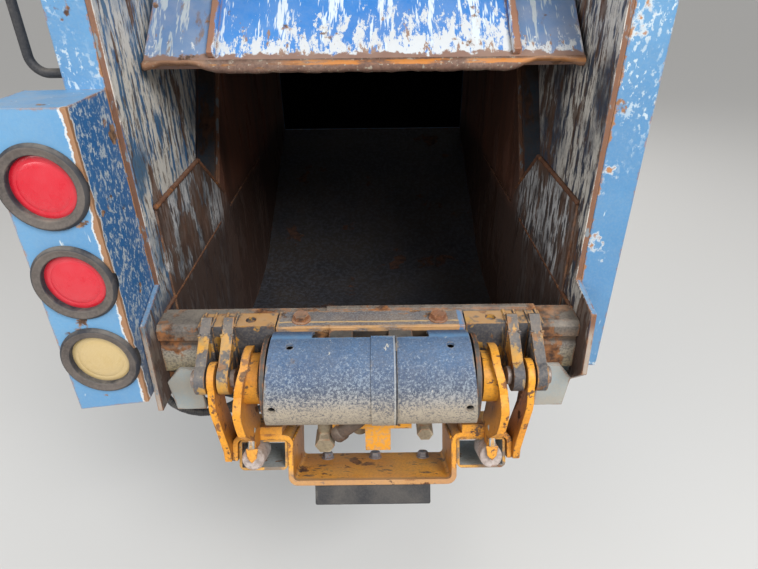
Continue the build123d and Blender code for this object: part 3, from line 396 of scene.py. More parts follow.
def postMarks(colour):
    # white chips in clusters, and bare rust along the edges beside the mouth
    cluster = patch(4.5, 0.4, 0.16, shift=(2.0, 8.0, 5.0))
    chips = patch(130.0, 0.36, 0.04, stretch=(1.0, 1.0, 0.7))
    colour = blend(chips * cluster, colour, (0.52, 0.62, 0.68))
    blotch = patch(13.0, 0.22, 0.03, shift=(1.0, 4.0, 9.0))
    halo = patch(13.0, 0.27, 0.03, shift=(1.0, 4.0, 9.0))
    colour = blend(blend(blotch, halo, (0.0, 0.0, 0.0)), colour, (0.55, 0.62, 0.66))
    colour = blend(blotch, colour, (0.42, 0.2, 0.085))
    inner = abs(placeParts()[0]) - wallInside
    strip = fall(ragged(inner, 0.022, 26.0), 0.009, 0.012)
    return blend(strip, colour, chipRust)


def lampBoxMarks(colour):
    # dense fine scratches over a deeper blue on the inner side; rust and white chips along the edge beside it
    x, y, z = placeParts()
    low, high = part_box("lamp_box")
    side = calc("GREATER_THAN", x, high.x - 0.0006)
    deeper = blend(0.88, colour, (0.022, 0.125, 0.33))
    thin = useMask(scratches, Scale=130.0, Coverage=0.66, Stretch=(1.0, 1.0, 0.3), Turn=0.5)
    deeper = blend(thin * 0.85, deeper, (0.54, 0.59, 0.6))
    # darker towards the bottom of the inner side face
    darkerLow = fall(ragged(z, 0.06, 12.0), low.z + 0.05, low.z + 0.2)
    deeper = blend(darkerLow * 0.7, deeper, (0.085, 0.085, 0.09))
    colour = blend(side, colour, deeper)
    fromEdge = vectorCalc("LENGTH", newValue("CombineXYZ", {0: x - high.x, 1: y - low.y}), output=1)
    wavy = ragged(fromEdge, 0.01, 34.0)
    colour = blend(fall(wavy, 0.0085, 0.0095), colour, chipWhite)
    return blend(fall(wavy, 0.006, 0.007), colour, (0.33, 0.17, 0.085))


# Where the blade's folds are: as far from the middle as the blade's end less the width of a wing
wingWidth = 0.111
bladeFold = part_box("sweep_panel")[1].x - wingWidth


def bladeMarks(colour):
    # ragged white chips that thin out up the blade from its lip; dull wings; rusty folds and a rusty hem
    x, _, z = placeParts()
    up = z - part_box("sweep_lip")[1].z
    out = abs(x)
    wing = ramp(ragged(out, 0.01, 20.0), bladeFold, bladeFold + 0.012)
    dull = blend(patch(22.0, 0.5, 0.3), (0.19, 0.25, 0.3), (0.34, 0.34, 0.31))
    colour = blend(wing * 0.5, colour, dull)
    smear = patch(20.0, 0.31, 0.06, stretch=(1.6, 0.5, 0.5), shift=(7.0, 2.0, 4.0))
    colour = blend(smear * wing * 0.8, colour, (0.2, 0.14, 0.115))
    moved = vectorCalc("MULTIPLY", objectPlace(), (1.0, 0.36, 0.36))
    level = line(wing, 0.09, spread(up, 0.0, 0.085, 0.41, 0.635)) + line(ramp(x, 0.06, -0.16), 0.06, -0.03)
    chips = ramp(noiseAt(moved, 85.0, 8.0, 0.75), level, level + 0.025)
    colour = blend(chips, colour, chipWhite)
    bare = noiseAt(vectorCalc("ADD", moved, (4.0, 2.0, 7.0)), 60.0, 7.0, 0.7)
    bare = ramp(line(up, -1.4, bare), 0.555, 0.58)
    colour = blend(bare, colour, (0.3, 0.19, 0.14))
    fold = nearEdge(ragged(out, 0.008, 40.0), bladeFold + 0.003, 0.008)
    colour = blend(fold, colour, (0.3, 0.14, 0.085))
    hem = fall(ragged(up, 0.016, 50.0), 0.007, 0.01)
    return blend(hem, colour, (0.25, 0.15, 0.115))


def lipMarks(colour):
    # fresh orange rust along the lip's upper edge on its right half, a paler worn line under the wings
    x, _, z = placeParts()
    rusty = patch(11.0, 0.62, 0.1, stretch=(1.0, 3.0, 3.0), shift=(2.2, 0.0, 1.0))
    band = nearEdge(ragged(z, 0.003, 40.0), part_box("sweep_lip")[1].z - 0.0035, 0.0036)
    right = ramp(x, -0.16, -0.08)
    colour = blend(band * right * rusty, colour, (0.5, 0.18, 0.028))
    wing = ramp(abs(x), bladeFold, bladeFold + 0.02)
    return blend(wing * 0.55, colour, (0.4, 0.2, 0.1))


def barMarks(colour):
    # worn yellow lines along the bar's top, the one at the rear edge partly a painted highlight; painted shade,
    # near black, on its rear face; and blue paint left at its right end
    x, y, z = placeParts()
    low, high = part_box("tipper_mount_bar")
    patchy = patch(38.0, 0.62, 0.1, stretch=(0.3, 1.0, 1.0), shift=(1.0, 0.0, 3.0))
    # the first line, at the rear edge, is worn paint with a painted highlight on it
    for inset, width, tint in ((0.002, 0.004, (0.58, 0.33, 0.15)), (0.0165, 0.0022, (0.6, 0.39, 0.17))):
        worn = nearEdge(ragged(y, 0.003, 60.0), low.y + inset, width)
        colour = blend(worn * patchy, colour, tint)
    # painted shade: near black below the bar's top centimetre
    rearFaceShade = fall(ragged(z, 0.002, 50.0), high.z - 0.01, high.z - 0.007)
    colour = blend(rearFaceShade * 0.92, colour, (0.014, 0.012, 0.012))
    end = ramp(ragged(x, 0.004, 60.0), high.x - 0.011, high.x - 0.009)
    return blend(end, colour, (0.1, 0.24, 0.45))


paintLook = {
    "paint": (0.125, 0.315, 0.545), "paintOther": (0.085, 0.245, 0.46), "speck": 0.14,
    "speckColour": (0.26, 0.36, 0.43), "scratchStretch": (1.0, 1.0, 0.12), "scratchColour": (0.5, 0.62, 0.7),
    "dustAll": 0.14, "rough": 0.4, "coat": 0.1,
}
bodyBlue = wornSurface(
    "bodyBlue", paintLook, scratch=0.36, scratchScale=60.0, rust=0.12, rustScale=11.0,
    rustLight=(0.36, 0.17, 0.07), edge=0.62, edgeRadius=0.006, edgeColour=(0.3, 0.14, 0.07), dust=0.26,
    dent=0.8, bumpDepth=0.0018, marks=postMarks,
)
plainBlue = wornSurface(
    "plainBlue", paintLook, scratch=0.46, scratchScale=50.0, rust=0.2, rustScale=9.0, edge=0.6,
    edgeColour=(0.28, 0.13, 0.07), dust=0.3, dent=0.9, bumpDepth=0.002,
)
trackRust = wornSurface(
    "trackRust", paint=(0.03, 0.055, 0.085), paintOther=(0.045, 0.03, 0.024), toneScale=9.0,
    speckColour=(0.11, 0.055, 0.035), scratch=0.3, scratchScale=40.0, scratchColour=(0.13, 0.1, 0.09),
    rust=0.5, rustScale=10.0, rustStretch=(1.0, 0.4, 0.25), rustDark=(0.045, 0.021, 0.014),
    rustLight=(0.13, 0.05, 0.026), edge=1.3, edgeRadius=0.008, edgeColour=(0.17, 0.06, 0.03), dust=0.1,
    dustAll=0.05, rough=0.75,
)
lampBoxBlue = wornSurface(
    "lampBoxBlue", paint=(0.135, 0.335, 0.56), paintOther=(0.1, 0.27, 0.5), speck=0.1,
    speckColour=(0.28, 0.4, 0.48), scratch=0.34, scratchScale=44.0, scratchStretch=(1.0, 1.0, 0.15),
    scratchColour=(0.55, 0.64, 0.7), rust=0.17, rustScale=15.0, rustLight=(0.4, 0.22, 0.11), edge=0.75,
    edgeColour=(0.33, 0.18, 0.1), dust=0.3, dustAll=0.16, dent=0.5, marks=lampBoxMarks,
)
packerLook = {
    "paint": (0.04, 0.2, 0.56), "paintOther": (0.065, 0.26, 0.64), "toneScale": 3.5, "speck": 0.12,
    "speckColour": (0.18, 0.31, 0.5), "scratch": 0.6, "scratchScale": 48.0,
    "scratchStretch": (1.0, 0.1, 0.1), "scratchColour": (0.66, 0.75, 0.82), "rust": 0.2, "rustScale": 13.0,
    "rustLight": (0.33, 0.17, 0.09), "edgeRadius": 0.008, "edgeColour": (0.28, 0.14, 0.09), "rough": 0.38,
    "dent": 0.6,
}
packerBlue = wornSurface("packerBlue", packerLook, dust=0.16, dustAll=0.08)
bladeBlue = wornSurface("bladeBlue", packerLook, dust=0.12, dustAll=0.06, marks=bladeMarks)
sillBands = [
    (-0.125, (0.1, 0.2, 0.24)), (-0.105, (0.16, 0.24, 0.26)), (-0.098, (0.045, 0.04, 0.035)),
    (-0.094, (0.33, 0.27, 0.15)), (-0.06, (0.42, 0.38, 0.3)), (-0.048, (0.3, 0.28, 0.25)),
    (-0.042, (0.05, 0.04, 0.035)), (-0.034, (0.16, 0.1, 0.06)), (-0.026, (0.22, 0.15, 0.1)),
    (-0.01, (0.13, 0.115, 0.1)), (0.004, (0.17, 0.15, 0.13)),
]
sillSteel = wornSurface(
    "sillSteel", bands=zBands(sillBands, -0.125, 0.006), paintOther=(0.2, 0.14, 0.1), speck=0.55,
    speckScale=260.0, speckColour=(0.05, 0.045, 0.045), scratch=0.25, scratchStretch=(0.06, 1.0, 1.0),
    scratchColour=(0.48, 0.46, 0.42), rust=0.4, rustScale=9.0, rustLight=(0.33, 0.13, 0.04), edge=1.2,
    dust=0.35, rough=0.6, bumpDepth=0.002,
)
barSteel = wornSurface(
    "barSteel", paint=(0.105, 0.115, 0.135), paintOther=(0.16, 0.12, 0.1), toneScale=7.0, speck=0.5,
    speckScale=300.0, speckColour=(0.32, 0.32, 0.33), scratch=0.2, scratchStretch=(0.06, 1.0, 1.0),
    scratchColour=(0.42, 0.33, 0.17), rust=0.3, rustScale=12.0, edge=1.6, edgeRadius=0.009,
    edgeColour=(0.55, 0.3, 0.1), rustLight=(0.42, 0.19, 0.06), dust=0.22, rough=0.62, bumpDepth=0.0016,
    marks=barMarks,
)
gussetBlue = wornSurface(
    "gussetBlue", paint=(0.33, 0.42, 0.46), paintOther=(0.42, 0.38, 0.31), toneScale=6.0,
    speckColour=(0.5, 0.45, 0.36), rust=0.12, edge=0.9, dust=0.55, dustAll=0.5, rough=0.6,
)


def tipperMarks(colour):
    # painted shade: browner, darker paint on the faces that look to the sides
    sidewaysShade = ramp(abs(normalParts()[0]), 0.55, 0.85)
    sideShadeMottle = patch(14.0, 0.55, 0.25, stretch=(1.0, 1.0, 0.4), shift=(6.0, 1.0, 0.0))
    sideShadeTone = blend(sideShadeMottle, (0.42, 0.145, 0.014), (0.17, 0.06, 0.016))
    # painted shade on the faces that look to the sides
    colour = blend(sidewaysShade * 0.65, colour, sideShadeTone)
    y, z = placeParts()[1:]
    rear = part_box("tipper_saddle")[0].y
    lowEdge = fall(ragged(y, 0.004, 40.0), rear + 0.01, rear + 0.016)
    lowEdge = lowEdge * fall(z, sillTopZ - 0.2, sillTopZ - 0.19)
    return blend(lowEdge * 0.65, colour, (0.33, 0.2, 0.125))


tipperYellow = wornSurface(
    "tipperYellow", paint=(0.82, 0.36, 0.018), paintOther=(0.66, 0.25, 0.015), toneScale=6.0, speck=0.28,
    speckScale=240.0, speckColour=(0.3, 0.105, 0.02), scratch=0.52, scratchScale=60.0,
    scratchStretch=(0.4, 1.0, 0.6), scratchColour=(0.13, 0.06, 0.025), rust=0.26, rustScale=24.0,
    rustDark=(0.06, 0.026, 0.014), edge=0.3, edgeRadius=0.005, edgeColour=(0.14, 0.06, 0.025), dust=0.22,
    dustAll=0.12, dustColour=(0.52, 0.4, 0.25), rough=0.5, marks=tipperMarks,
)


def earMarks(colour):
    # black plate with large worn patches of yellow, thicker toward the round ends, and orange under the drum
    x, _, z = placeParts()
    coverage = line(ramp(z, sillTopZ - 0.04, sillTopZ - 0.085), 0.22, 0.34)
    worn = patch(20.0, coverage, 0.04, stretch=(1.0, 0.8, 0.8), shift=(0.0, 3.0, 0.7))
    tint = blend(patch(70.0, 0.5, 0.3), (0.6, 0.29, 0.03), (0.36, 0.22, 0.07))
    colour = blend(worn, colour, tint)
    top = ramp(normalParts()[2], 0.8, 0.95) * ramp(z, sillTopZ + 0.002, sillTopZ + 0.006)
    scuffed = patch(34.0, 0.62, 0.12, shift=(2.0, 2.0, 2.0))
    colour = blend(top * scuffed, colour, (0.5, 0.27, 0.1))
    middle = fall(abs(x - tipperX), 0.1, 0.11) * ramp(z, sillTopZ - 0.07, sillTopZ - 0.08)
    grain = patch(150.0, 0.4, 0.1)
    return blend(middle, colour, blend(grain, (0.8, 0.34, 0.02), (0.6, 0.32, 0.12)))


earBlack = wornSurface(
    "earBlack", paint=(0.04, 0.042, 0.052), paintOther=(0.075, 0.075, 0.085), toneScale=12.0, speck=0.35,
    speckScale=260.0, speckColour=(0.2, 0.17, 0.14), scratch=0.45, scratchScale=70.0,
    scratchColour=(0.3, 0.22, 0.12), rust=0.24, rustScale=26.0, rustDark=(0.1, 0.05, 0.025),
    rustLight=(0.34, 0.15, 0.05), edge=0.42, edgeRadius=0.005, edgeColour=(0.52, 0.26, 0.05), dust=0.24,
    rough=0.6, marks=earMarks,
)
# painted reflection by height: sky blue on the guard's top, bounce light from the ground in tan lower down
guardReflectionBands = [
    (-0.15, (0.16, 0.135, 0.11)), (-0.07, (0.11, 0.105, 0.11)), (-0.03, (0.055, 0.07, 0.11)),
    (-0.006, (0.05, 0.09, 0.175)), (0.024, (0.085, 0.165, 0.3)),
]


def guardMarks(colour):
    # grains of dust whose noise level falls from the guard's top to its bottom, tinted blue-grey at the top and
    # tan lower down as painted reflection of sky and ground; the dark gap where the two halves meet, with a
    # painted highlight along one rim of it; and cleaner blue on the upper end tabs
    x, y, z = placeParts()
    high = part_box("actuator_guard")[1]
    level = spread(ragged(z, 0.03, 15.0), high.z, high.z - 0.088, 0.545, 0.415)
    grains = noiseAt(objectPlace(), 240.0, 7.0, 0.9)
    # painted reflection: grains blue-grey at the top, tan lower down
    tan = blend(ramp(z, high.z - 0.03, high.z - 0.09), (0.3, 0.37, 0.44), (0.5, 0.42, 0.31))
    dusty = ramp(grains, level, level + 0.09)
    colour = blend(dusty * 0.8, colour, tan)
    tab = ramp(ragged(y, 0.006, 40.0), high.y - 0.05, high.y - 0.04)
    colour = blend(ramp(z, high.z - 0.006, high.z - 0.001) * tab, colour, (0.13, 0.3, 0.52))
    gap = nearEdge(ragged(x, 0.0008, 30.0), tipperX + 0.0405, 0.0014)
    # painted highlight along one rim of the seam
    rimLight = nearEdge(x, tipperX + 0.0375, 0.0012)
    colour = blend(rimLight * 0.5, colour, (0.5, 0.5, 0.48))
    return blend(gap, colour, (0.012, 0.012, 0.015))


# its colour bands are painted reflection of sky and ground
guardPaint = wornSurface(
    "guardPaint", bands=zBands(guardReflectionBands, -0.15, 0.024, 0.022), paintOther=(0.1, 0.11, 0.13),
    toneScale=10.0, speck=0.4, speckScale=380.0, speckColour=(0.03, 0.04, 0.07), scratch=0.34,
    scratchScale=60.0, scratchStretch=(1.0, 0.5, 0.5), scratchColour=(0.5, 0.48, 0.42), rust=0.02, edge=0.35,
    edgeColour=(0.24, 0.2, 0.16), rustLight=(0.3, 0.25, 0.19), dust=0.06, dustScale=60.0, dustAll=0.25,
    dustColour=(0.5, 0.44, 0.35), rough=0.7, bumpDepth=0.0009, marks=guardMarks,
)
drumBlack = wornSurface(
    "drumBlack", paint=(0.03, 0.031, 0.034), paintOther=(0.055, 0.05, 0.045), speckColour=(0.1, 0.09, 0.08),
    rust=0.06, edge=0.5, dust=0.12, dustAll=0.1, rough=0.55,
)


def floorMarks(colour):
    # dirty body paint on the underside
    under = ramp(normalParts()[2] * -1.0, 0.0, 0.08)
    tone = blend(patch(5.0, 0.5, 0.3), (0.09, 0.215, 0.37), (0.06, 0.13, 0.22))
    return blend(under, colour, tone)


# the bluish-grey specks, and the bluish-grey colour of the real scratches, are painted sheen on the near black
# floor
floorDark = wornSurface(
    "floorDark", marks=floorMarks, paint=(0.034, 0.034, 0.04), paintOther=(0.06, 0.05, 0.044),
    toneScale=5.0, speck=0.4, speckScale=90.0, speckColour=(0.11, 0.12, 0.15), scratch=0.12,
    scratchStretch=(1.0, 0.05, 0.2), scratchColour=(0.14, 0.15, 0.17), rust=0.2,
    rustDark=(0.045, 0.026, 0.02), rustLight=(0.14, 0.062, 0.036), edge=0.5, edgeColour=(0.16, 0.08, 0.05),
    dust=0.1, dustAll=0.0, dustColour=(0.05, 0.045, 0.042), bumpDepth=0.003,
)
wornSteel = wornSurface(
    "wornSteel", paint=(0.36, 0.32, 0.3), paintOther=(0.27, 0.2, 0.17), toneScale=14.0, speck=0.4,
    speckColour=(0.12, 0.09, 0.08), rust=0.26, rustScale=22.0, edge=0.5, edgeColour=(0.38, 0.3, 0.26),
    dust=0.3, rough=0.46, metal=0.55,
)


def tubeMarks(colour):
    # yellow paint left on the tubes' rear ends, brown where it has gone
    end = ramp(normalParts()[1] * -1.0, 0.6, 0.8)
    left = patch(40.0, 0.5, 0.08)
    return blend(end, colour, blend(left, (0.2, 0.15, 0.11), (0.66, 0.33, 0.05)))


studSteel = wornSurface(
    "studSteel", paint=(0.52, 0.45, 0.42), paintOther=(0.38, 0.31, 0.28), toneScale=30.0, speck=0.5,
    speckScale=160.0, speckColour=(0.16, 0.12, 0.1), rust=0.16, rustScale=30.0, edge=0.6,
    edgeColour=(0.2, 0.14, 0.11), dust=0.35, dustAll=0.2, rough=0.7, metal=0.15,
)
boltGrey = wornSurface(
    "boltGrey", paint=(0.19, 0.2, 0.24), paintOther=(0.13, 0.13, 0.15), toneScale=40.0, speck=0.4,
    speckColour=(0.34, 0.32, 0.3), rust=0.16, rustScale=60.0, edge=0.4, edgeColour=(0.3, 0.27, 0.24),
    dust=0.2, rough=0.6, metal=0.2,
)
tubeGrey = wornSurface(
    "tubeGrey", marks=tubeMarks, paint=(0.42, 0.48, 0.51), paintOther=(0.38, 0.38, 0.34), toneScale=12.0,
    speckColour=(0.07, 0.07, 0.07), rust=0.24, rustScale=24.0, edge=0.35, edgeColour=(0.45, 0.23, 0.04),
    dust=0.35, dustAll=0.2, rough=0.6,
)
boltRust = wornSurface(
    "boltRust", paint=(0.26, 0.1, 0.045), paintOther=(0.16, 0.065, 0.035), toneScale=30.0, speck=0.35,
    speckColour=(0.42, 0.2, 0.09), rust=0.35, rustScale=40.0, edge=0.4, edgeColour=(0.45, 0.24, 0.13),
    rough=0.8,
)
beadRust = wornSurface(
    "beadRust", paint=(0.105, 0.04, 0.02), paintOther=(0.17, 0.07, 0.032), toneScale=16.0, speck=0.4,
    speckScale=240.0, speckColour=(0.05, 0.022, 0.015), rust=0.3, rustScale=30.0, edge=0.0, dust=0.1,
    rough=0.85,
)
lipSteel = wornSurface(
    "lipSteel", paint=(0.17, 0.09, 0.062), paintOther=(0.21, 0.125, 0.09), toneScale=14.0, speck=0.5,
    speckScale=260.0, speckColour=(0.07, 0.038, 0.03), fleck=0.26, fleckScale=150.0,
    fleckColour=(0.4, 0.36, 0.28), rust=0.22, rustScale=16.0, rustStretch=(0.6, 3.0, 3.0),
    rustDark=(0.2, 0.085, 0.035), rustLight=(0.42, 0.19, 0.06), edge=0.5, edgeColour=(0.34, 0.22, 0.14),
    dust=0.2, rough=0.66, metal=0.1, marks=lipMarks,
)
fittingBrown = wornSurface(
    "fittingBrown", paint=(0.06, 0.038, 0.028), paintOther=(0.11, 0.07, 0.05), toneScale=20.0, speck=0.4,
    speckColour=(0.025, 0.018, 0.015), rust=0.2, rustScale=30.0, edge=0.4, edgeColour=(0.22, 0.15, 0.1),
    dust=0.3, rough=0.6,
)
rodChrome = wornSurface(
    "rodChrome", paint=(0.72, 0.73, 0.75), paintOther=(0.62, 0.63, 0.66), speck=0.1,
    speckColour=(0.3, 0.27, 0.23), scratch=0.08, scratchColour=(0.45, 0.43, 0.4), rust=0.03, rustScale=30.0,
    edge=0.0, dust=0.12, dustAll=0.06, rough=0.18, metal=1.0, bumpDepth=0.0003,
)
cylinderBlack = wornSurface(
    "cylinderBlack", paint=(0.03, 0.03, 0.033), paintOther=(0.045, 0.042, 0.04), speck=0.2,
    speckColour=(0.12, 0.11, 0.1), scratch=0.1, scratchColour=(0.25, 0.24, 0.22), rustScale=11.0, dust=0.35,
    rough=0.4,
)
rubberBlack = wornSurface(
    "rubberBlack", paint=(0.016, 0.017, 0.022), paintOther=(0.03, 0.03, 0.033), toneScale=9.0, speck=0.25,
    speckScale=320.0, speckColour=(0.08, 0.075, 0.07), rust=0.0, edge=0.3, edgeColour=(0.1, 0.095, 0.09),
    rustLight=(0.12, 0.11, 0.1), dust=0.22, dustAll=0.08, rough=0.6, bumpDepth=0.0006,
)


lampNodes = ("stop_lamp", "tail_lamp", "reverse_lamp")


def grommetMarks(colour):
    # painted shade, blue-black, on each ring's outer wall and down its bore, by the distance from the nearest
    # lamp's middle
    x, _, z = placeParts()
    flat = newValue("CombineXYZ", {0: x, 2: z})
    spans = []
    for lamp in lampNodes:
        low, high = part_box(lamp)
        middle = ((low.x + high.x) / 2, 0.0, (low.z + high.z) / 2)
        spans.append(vectorCalc("DISTANCE", flat, middle, output=1))
    span = calc("MINIMUM", calc("MINIMUM", spans[0], spans[1]), spans[2])
    # painted shade on the outer wall and in the bore
    outer = ramp(ragged(span, 0.0008, 60.0), 0.0582, 0.0594)
    bore = fall(span, 0.0472, 0.0482)
    return blend(calc("MAXIMUM", outer, bore), colour, (0.013, 0.016, 0.026))


grommetRubber = wornSurface(
    "grommetRubber", marks=grommetMarks, paint=(0.06, 0.05, 0.046), paintOther=(0.105, 0.088, 0.08),
    toneScale=12.0, speck=0.35, speckScale=300.0, speckColour=(0.16, 0.13, 0.115), rust=0.0, edge=0.4,
    edgeColour=(0.15, 0.12, 0.1), rustLight=(0.15, 0.12, 0.1), dust=0.35, dustAll=0.25, rough=0.65,
    bumpDepth=0.0006,
)
fittingBrass = wornSurface(
    "fittingBrass", paint=(0.34, 0.28, 0.18), paintOther=(0.22, 0.17, 0.11), toneScale=20.0, speck=0.35,
    speckColour=(0.1, 0.075, 0.05), rust=0.2, rustScale=25.0, edge=0.5, edgeColour=(0.45, 0.38, 0.27),
    dust=0.45, dustAll=0.3, rough=0.55, metal=0.25,
)


outsideLook = {"paint": paintLook["paint"], "scratch": 0.46, "scratchScale": 50.0, "rust": 0.2}


def scrapedWall(name, scraped, deepShare):
    # inside the hopper the walls are scraped blue over rust near the mouth, brown rust deeper in and
    # black under the sill's level; outside they are body paint
    material, shader = newMaterial(name)
    x, y, z = placeParts()
    ripple = line(noiseAt(objectPlace(), 3.2, 8.0, 0.65), 0.5, -0.25)
    brown = blend(patch(30.0, 0.5, 0.4, stretch=(1.0, 0.7, 0.4)), scraped["rustDark"], scraped["rust"])
    flakes = patch(15.0, scraped["flakes"], 0.03, stretch=(1.0, 0.9, 0.3))
    blue = blend(patch(14.0, 0.5, 0.25), scraped["blue"], scraped["grey"])
    blue = blend(ramp(x, -0.01, 0.01) * 0.72, blue, (0.06, 0.043, 0.038))
    colour = blend(flakes, brown, blue)
    worn = patch(6.0, scraped["wornShare"], 0.18, shift=(4.0, 0.6, 2.2))
    white = patch(86.0, scraped["white"], 0.05, stretch=(1.0, 1.0, 0.19), shift=(0.0, 5.0, 1.0))
    white = white * worn * line(flakes, 0.85, 0.15)
    colour = blend(white, colour, scraped["whiteColour"])
    fine = useMask(scratches, Scale=115.0, Coverage=0.63, Stretch=(1.0, 1.0, 0.09), Turn=0.16)
    fine = fine * line(white, -0.25, 1.0)
    colour = blend(fine, colour, scraped["fineColour"])
    deep = ramp(y + ripple, postRearY + deepShare[0], postRearY + deepShare[1])
    streak = patch(13.0, 0.5, 0.4, stretch=(1.0, 1.0, 0.12))
    colour = blend(deep, colour, blend(streak, scraped["deepBrown"], scraped["deepDark"]))
    under = fall(line(ripple, 0.16, z), sillTopZ - 0.03, sillTopZ + 0.04)
    colour = blend(under * 0.9, colour, scraped["black"])
    rim = useMask(edges, Radius=0.007, Amount=0.9, Scale=32.0)
    outside = calc("GREATER_THAN", abs(x), wallInside + 0.0015)
    bluePaint, _, grain, _ = wornColours({**plainLook, **outsideLook})
    colour = blend(outside, colour, bluePaint)
    cut = ramp(abs(normalParts()[1]), 0.35, 0.6) * outside
    flaked = patch(40.0, 0.34, 0.04, stretch=(1.0, 1.0, 0.4))
    cutTone = blend(ramp(z, sillTopZ - 0.01, sillTopZ + 0.02), (0.4, 0.33, 0.27), scraped["cutRust"])
    colour = blend(cut, colour, blend(flaked, cutTone, (0.21, 0.24, 0.26)))
    colour = blend(rim, colour, blend(grain, (0.2, 0.085, 0.04), (0.36, 0.18, 0.09)))
    plug(shader, "Base Color", colour)
    plug(shader, "Roughness", mixNumber(calc("MAXIMUM", flakes, white), 0.85, 0.45))
    height = line(patch(6.0, 0.5, 0.9, shift=(9.0, 4.0, 2.0)), 1.2, flakes * 0.5 + grain * 0.3)
    roughen(shader, 0.5, 0.0022, height)
    return material


wallLook = {
    "blue": (0.045, 0.145, 0.3), "grey": (0.1, 0.17, 0.25), "rust": (0.17, 0.08, 0.045),
    "rustDark": (0.05, 0.027, 0.019), "flakes": 0.66, "white": 0.56, "wornShare": 0.66,
    "whiteColour": (0.66, 0.63, 0.57), "fineColour": (0.11, 0.07, 0.05), "deepBrown": (0.26, 0.105, 0.062),
    "deepDark": (0.105, 0.05, 0.034), "black": (0.06, 0.034, 0.025), "cutRust": (0.2, 0.095, 0.055),
}
linerLook = {
    **wallLook, "blue": (0.1, 0.13, 0.17), "grey": (0.2, 0.2, 0.2), "rust": (0.14, 0.07, 0.042), "flakes": 0.5,
    "white": 0.54, "wornShare": 0.6, "whiteColour": (0.62, 0.62, 0.62),
}
hopperWall = scrapedWall("hopperWall", wallLook, (0.3, 0.5))
hopperLiner = scrapedWall("hopperLiner", linerLook, (0.36, 0.6))


def lensMaterial(name, settings):
    # a coloured lens: a fine square prism pattern inside, plain rim, dusty film
    material, shader = newMaterial(name)
    waves = [calc("SINE", part * (2 * math.pi / settings["prismPitch"])) for part in placeParts()[::2]]
    prisms = line(calc("MULTIPLY", *waves), 0.5, 0.5)
    cloud = patch(26.0, 0.5, 0.5)
    colour = blend(prisms * 0.35, settings["colour"], settings["light"])
    colour = blend(cloud * 0.28, colour, settings["film"])
    plug(shader, "Base Color", colour)
    plug(shader, "Coat Weight", 0.5)
    plug(shader, "Coat Roughness", 0.12)
    plug(shader, "Roughness", mixNumber(cloud, 0.22, 0.42))
    roughen(shader, 0.25, 0.0006, prisms)
    return material


redLens = lensMaterial("redLens", {
    "colour": (0.6, 0.005, 0.02), "light": (0.74, 0.018, 0.04), "film": (0.66, 0.1, 0.12), "prismPitch": 0.003,
})
creamLens = lensMaterial("creamLens", {
    "colour": (0.52, 0.37, 0.15), "light": (0.7, 0.55, 0.28), "film": (0.6, 0.49, 0.3), "prismPitch": 0.0046,
})
print("materials made")

# Each CAD node listed here gets a merged copy with worn, rounded edges
nodeLooks = {
    "left_side_wall": (hopperWall, 0.0015), "right_side_wall": (hopperWall, 0.0015),
    "wear_liners": (hopperLiner, 0.001), "hopper_floor": (floorDark, 0.0015),
    "left_post": (bodyBlue, 0.0016), "right_post": (bodyBlue, 0.0016), "hood_panel": (plainBlue, 0.0016),
    "seal_frame": (plainBlue, 0.0015), "left_slide_track": (trackRust, 0.0012),
    "right_slide_track": (trackRust, 0.0012),
    "upper_beam": (plainBlue, 0.003), "hinge_lugs": (plainBlue, 0.002), "latch_lugs": (plainBlue, 0.0015),
    "lamp_box": (lampBoxBlue, 0.0016), "rear_sill": (sillSteel, 0.002), "sill_gussets": (gussetBlue, 0.0012),
    "lamp_bracket": (sillSteel, 0.0015), "tipper_mount_bar": (barSteel, 0.0018),
    "slide_panel": (packerBlue, 0.0015), "sweep_panel": (bladeBlue, 0.0018),
    "sweep_horns": (packerBlue, 0.0015),
    "cylinder_anchors": (packerBlue, 0.002), "slide_shoes": (wornSteel, 0.002), "sweep_pin": (wornSteel, 0.002),
    "pivot_bolts": (wornSteel, 0.002), "saddle_studs": (studSteel, 0.003),
    "slide_barrels": (cylinderBlack, 0.0015), "sweep_barrels": (cylinderBlack, 0.0015),
    "slide_rods": (rodChrome, 0.0005), "sweep_rods": (rodChrome, 0.001),
    "saddle_buffer": (rubberBlack, 0.003), "grab_handle": (rubberBlack, 0.0005),
    "hydraulic_hoses": (rubberBlack, 0.0003), "actuator_guard": (guardPaint, 0.0012),
    "tipper_actuator": (drumBlack, 0.002), "tipper_brackets": (earBlack, 0.0016),
    "drive_arms": (tipperYellow, 0.0018), "outer_arms": (tipperYellow, 0.0016),
    "tipper_saddle": (tipperYellow, 0.002), "pocket_tubes": (tubeGrey, 0.0015),
    "hydraulic_fittings": (fittingBrass, 0.0015),
}


def addPiece(name, mesh, material, near, slotNode=None, replaced=()):
    # the piece moves with the CAD node near it; the slot of that node, or of slotNode, is looked up but not
    # given to the piece
    body, slotName = bodyOf[near], slotOf[slotNode or near]
    mesh.materials.clear()
    mesh.materials.append(material)
    piece = bpy.data.objects.new(name, mesh)
    scene.collection.objects.link(piece)
    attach(piece, body)
    if replaced:
        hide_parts(*replaced)
    return piece


def addGrids(name, grids, material, near, slotNode=None, replaced=(), smooth=True):
    addPiece(name, meshOf(name, grids, smooth), material, near, slotNode, replaced)


def roundEdges(piece, width):
    bevel = piece.modifiers.new("roundEdges", "BEVEL")
    bevel.width, bevel.segments = width, 2
    bevel.limit_method, bevel.angle_limit = "ANGLE", math.radians(32.0)
    piece.modifiers.new("evenShade", "WEIGHTED_NORMAL").weight = 60


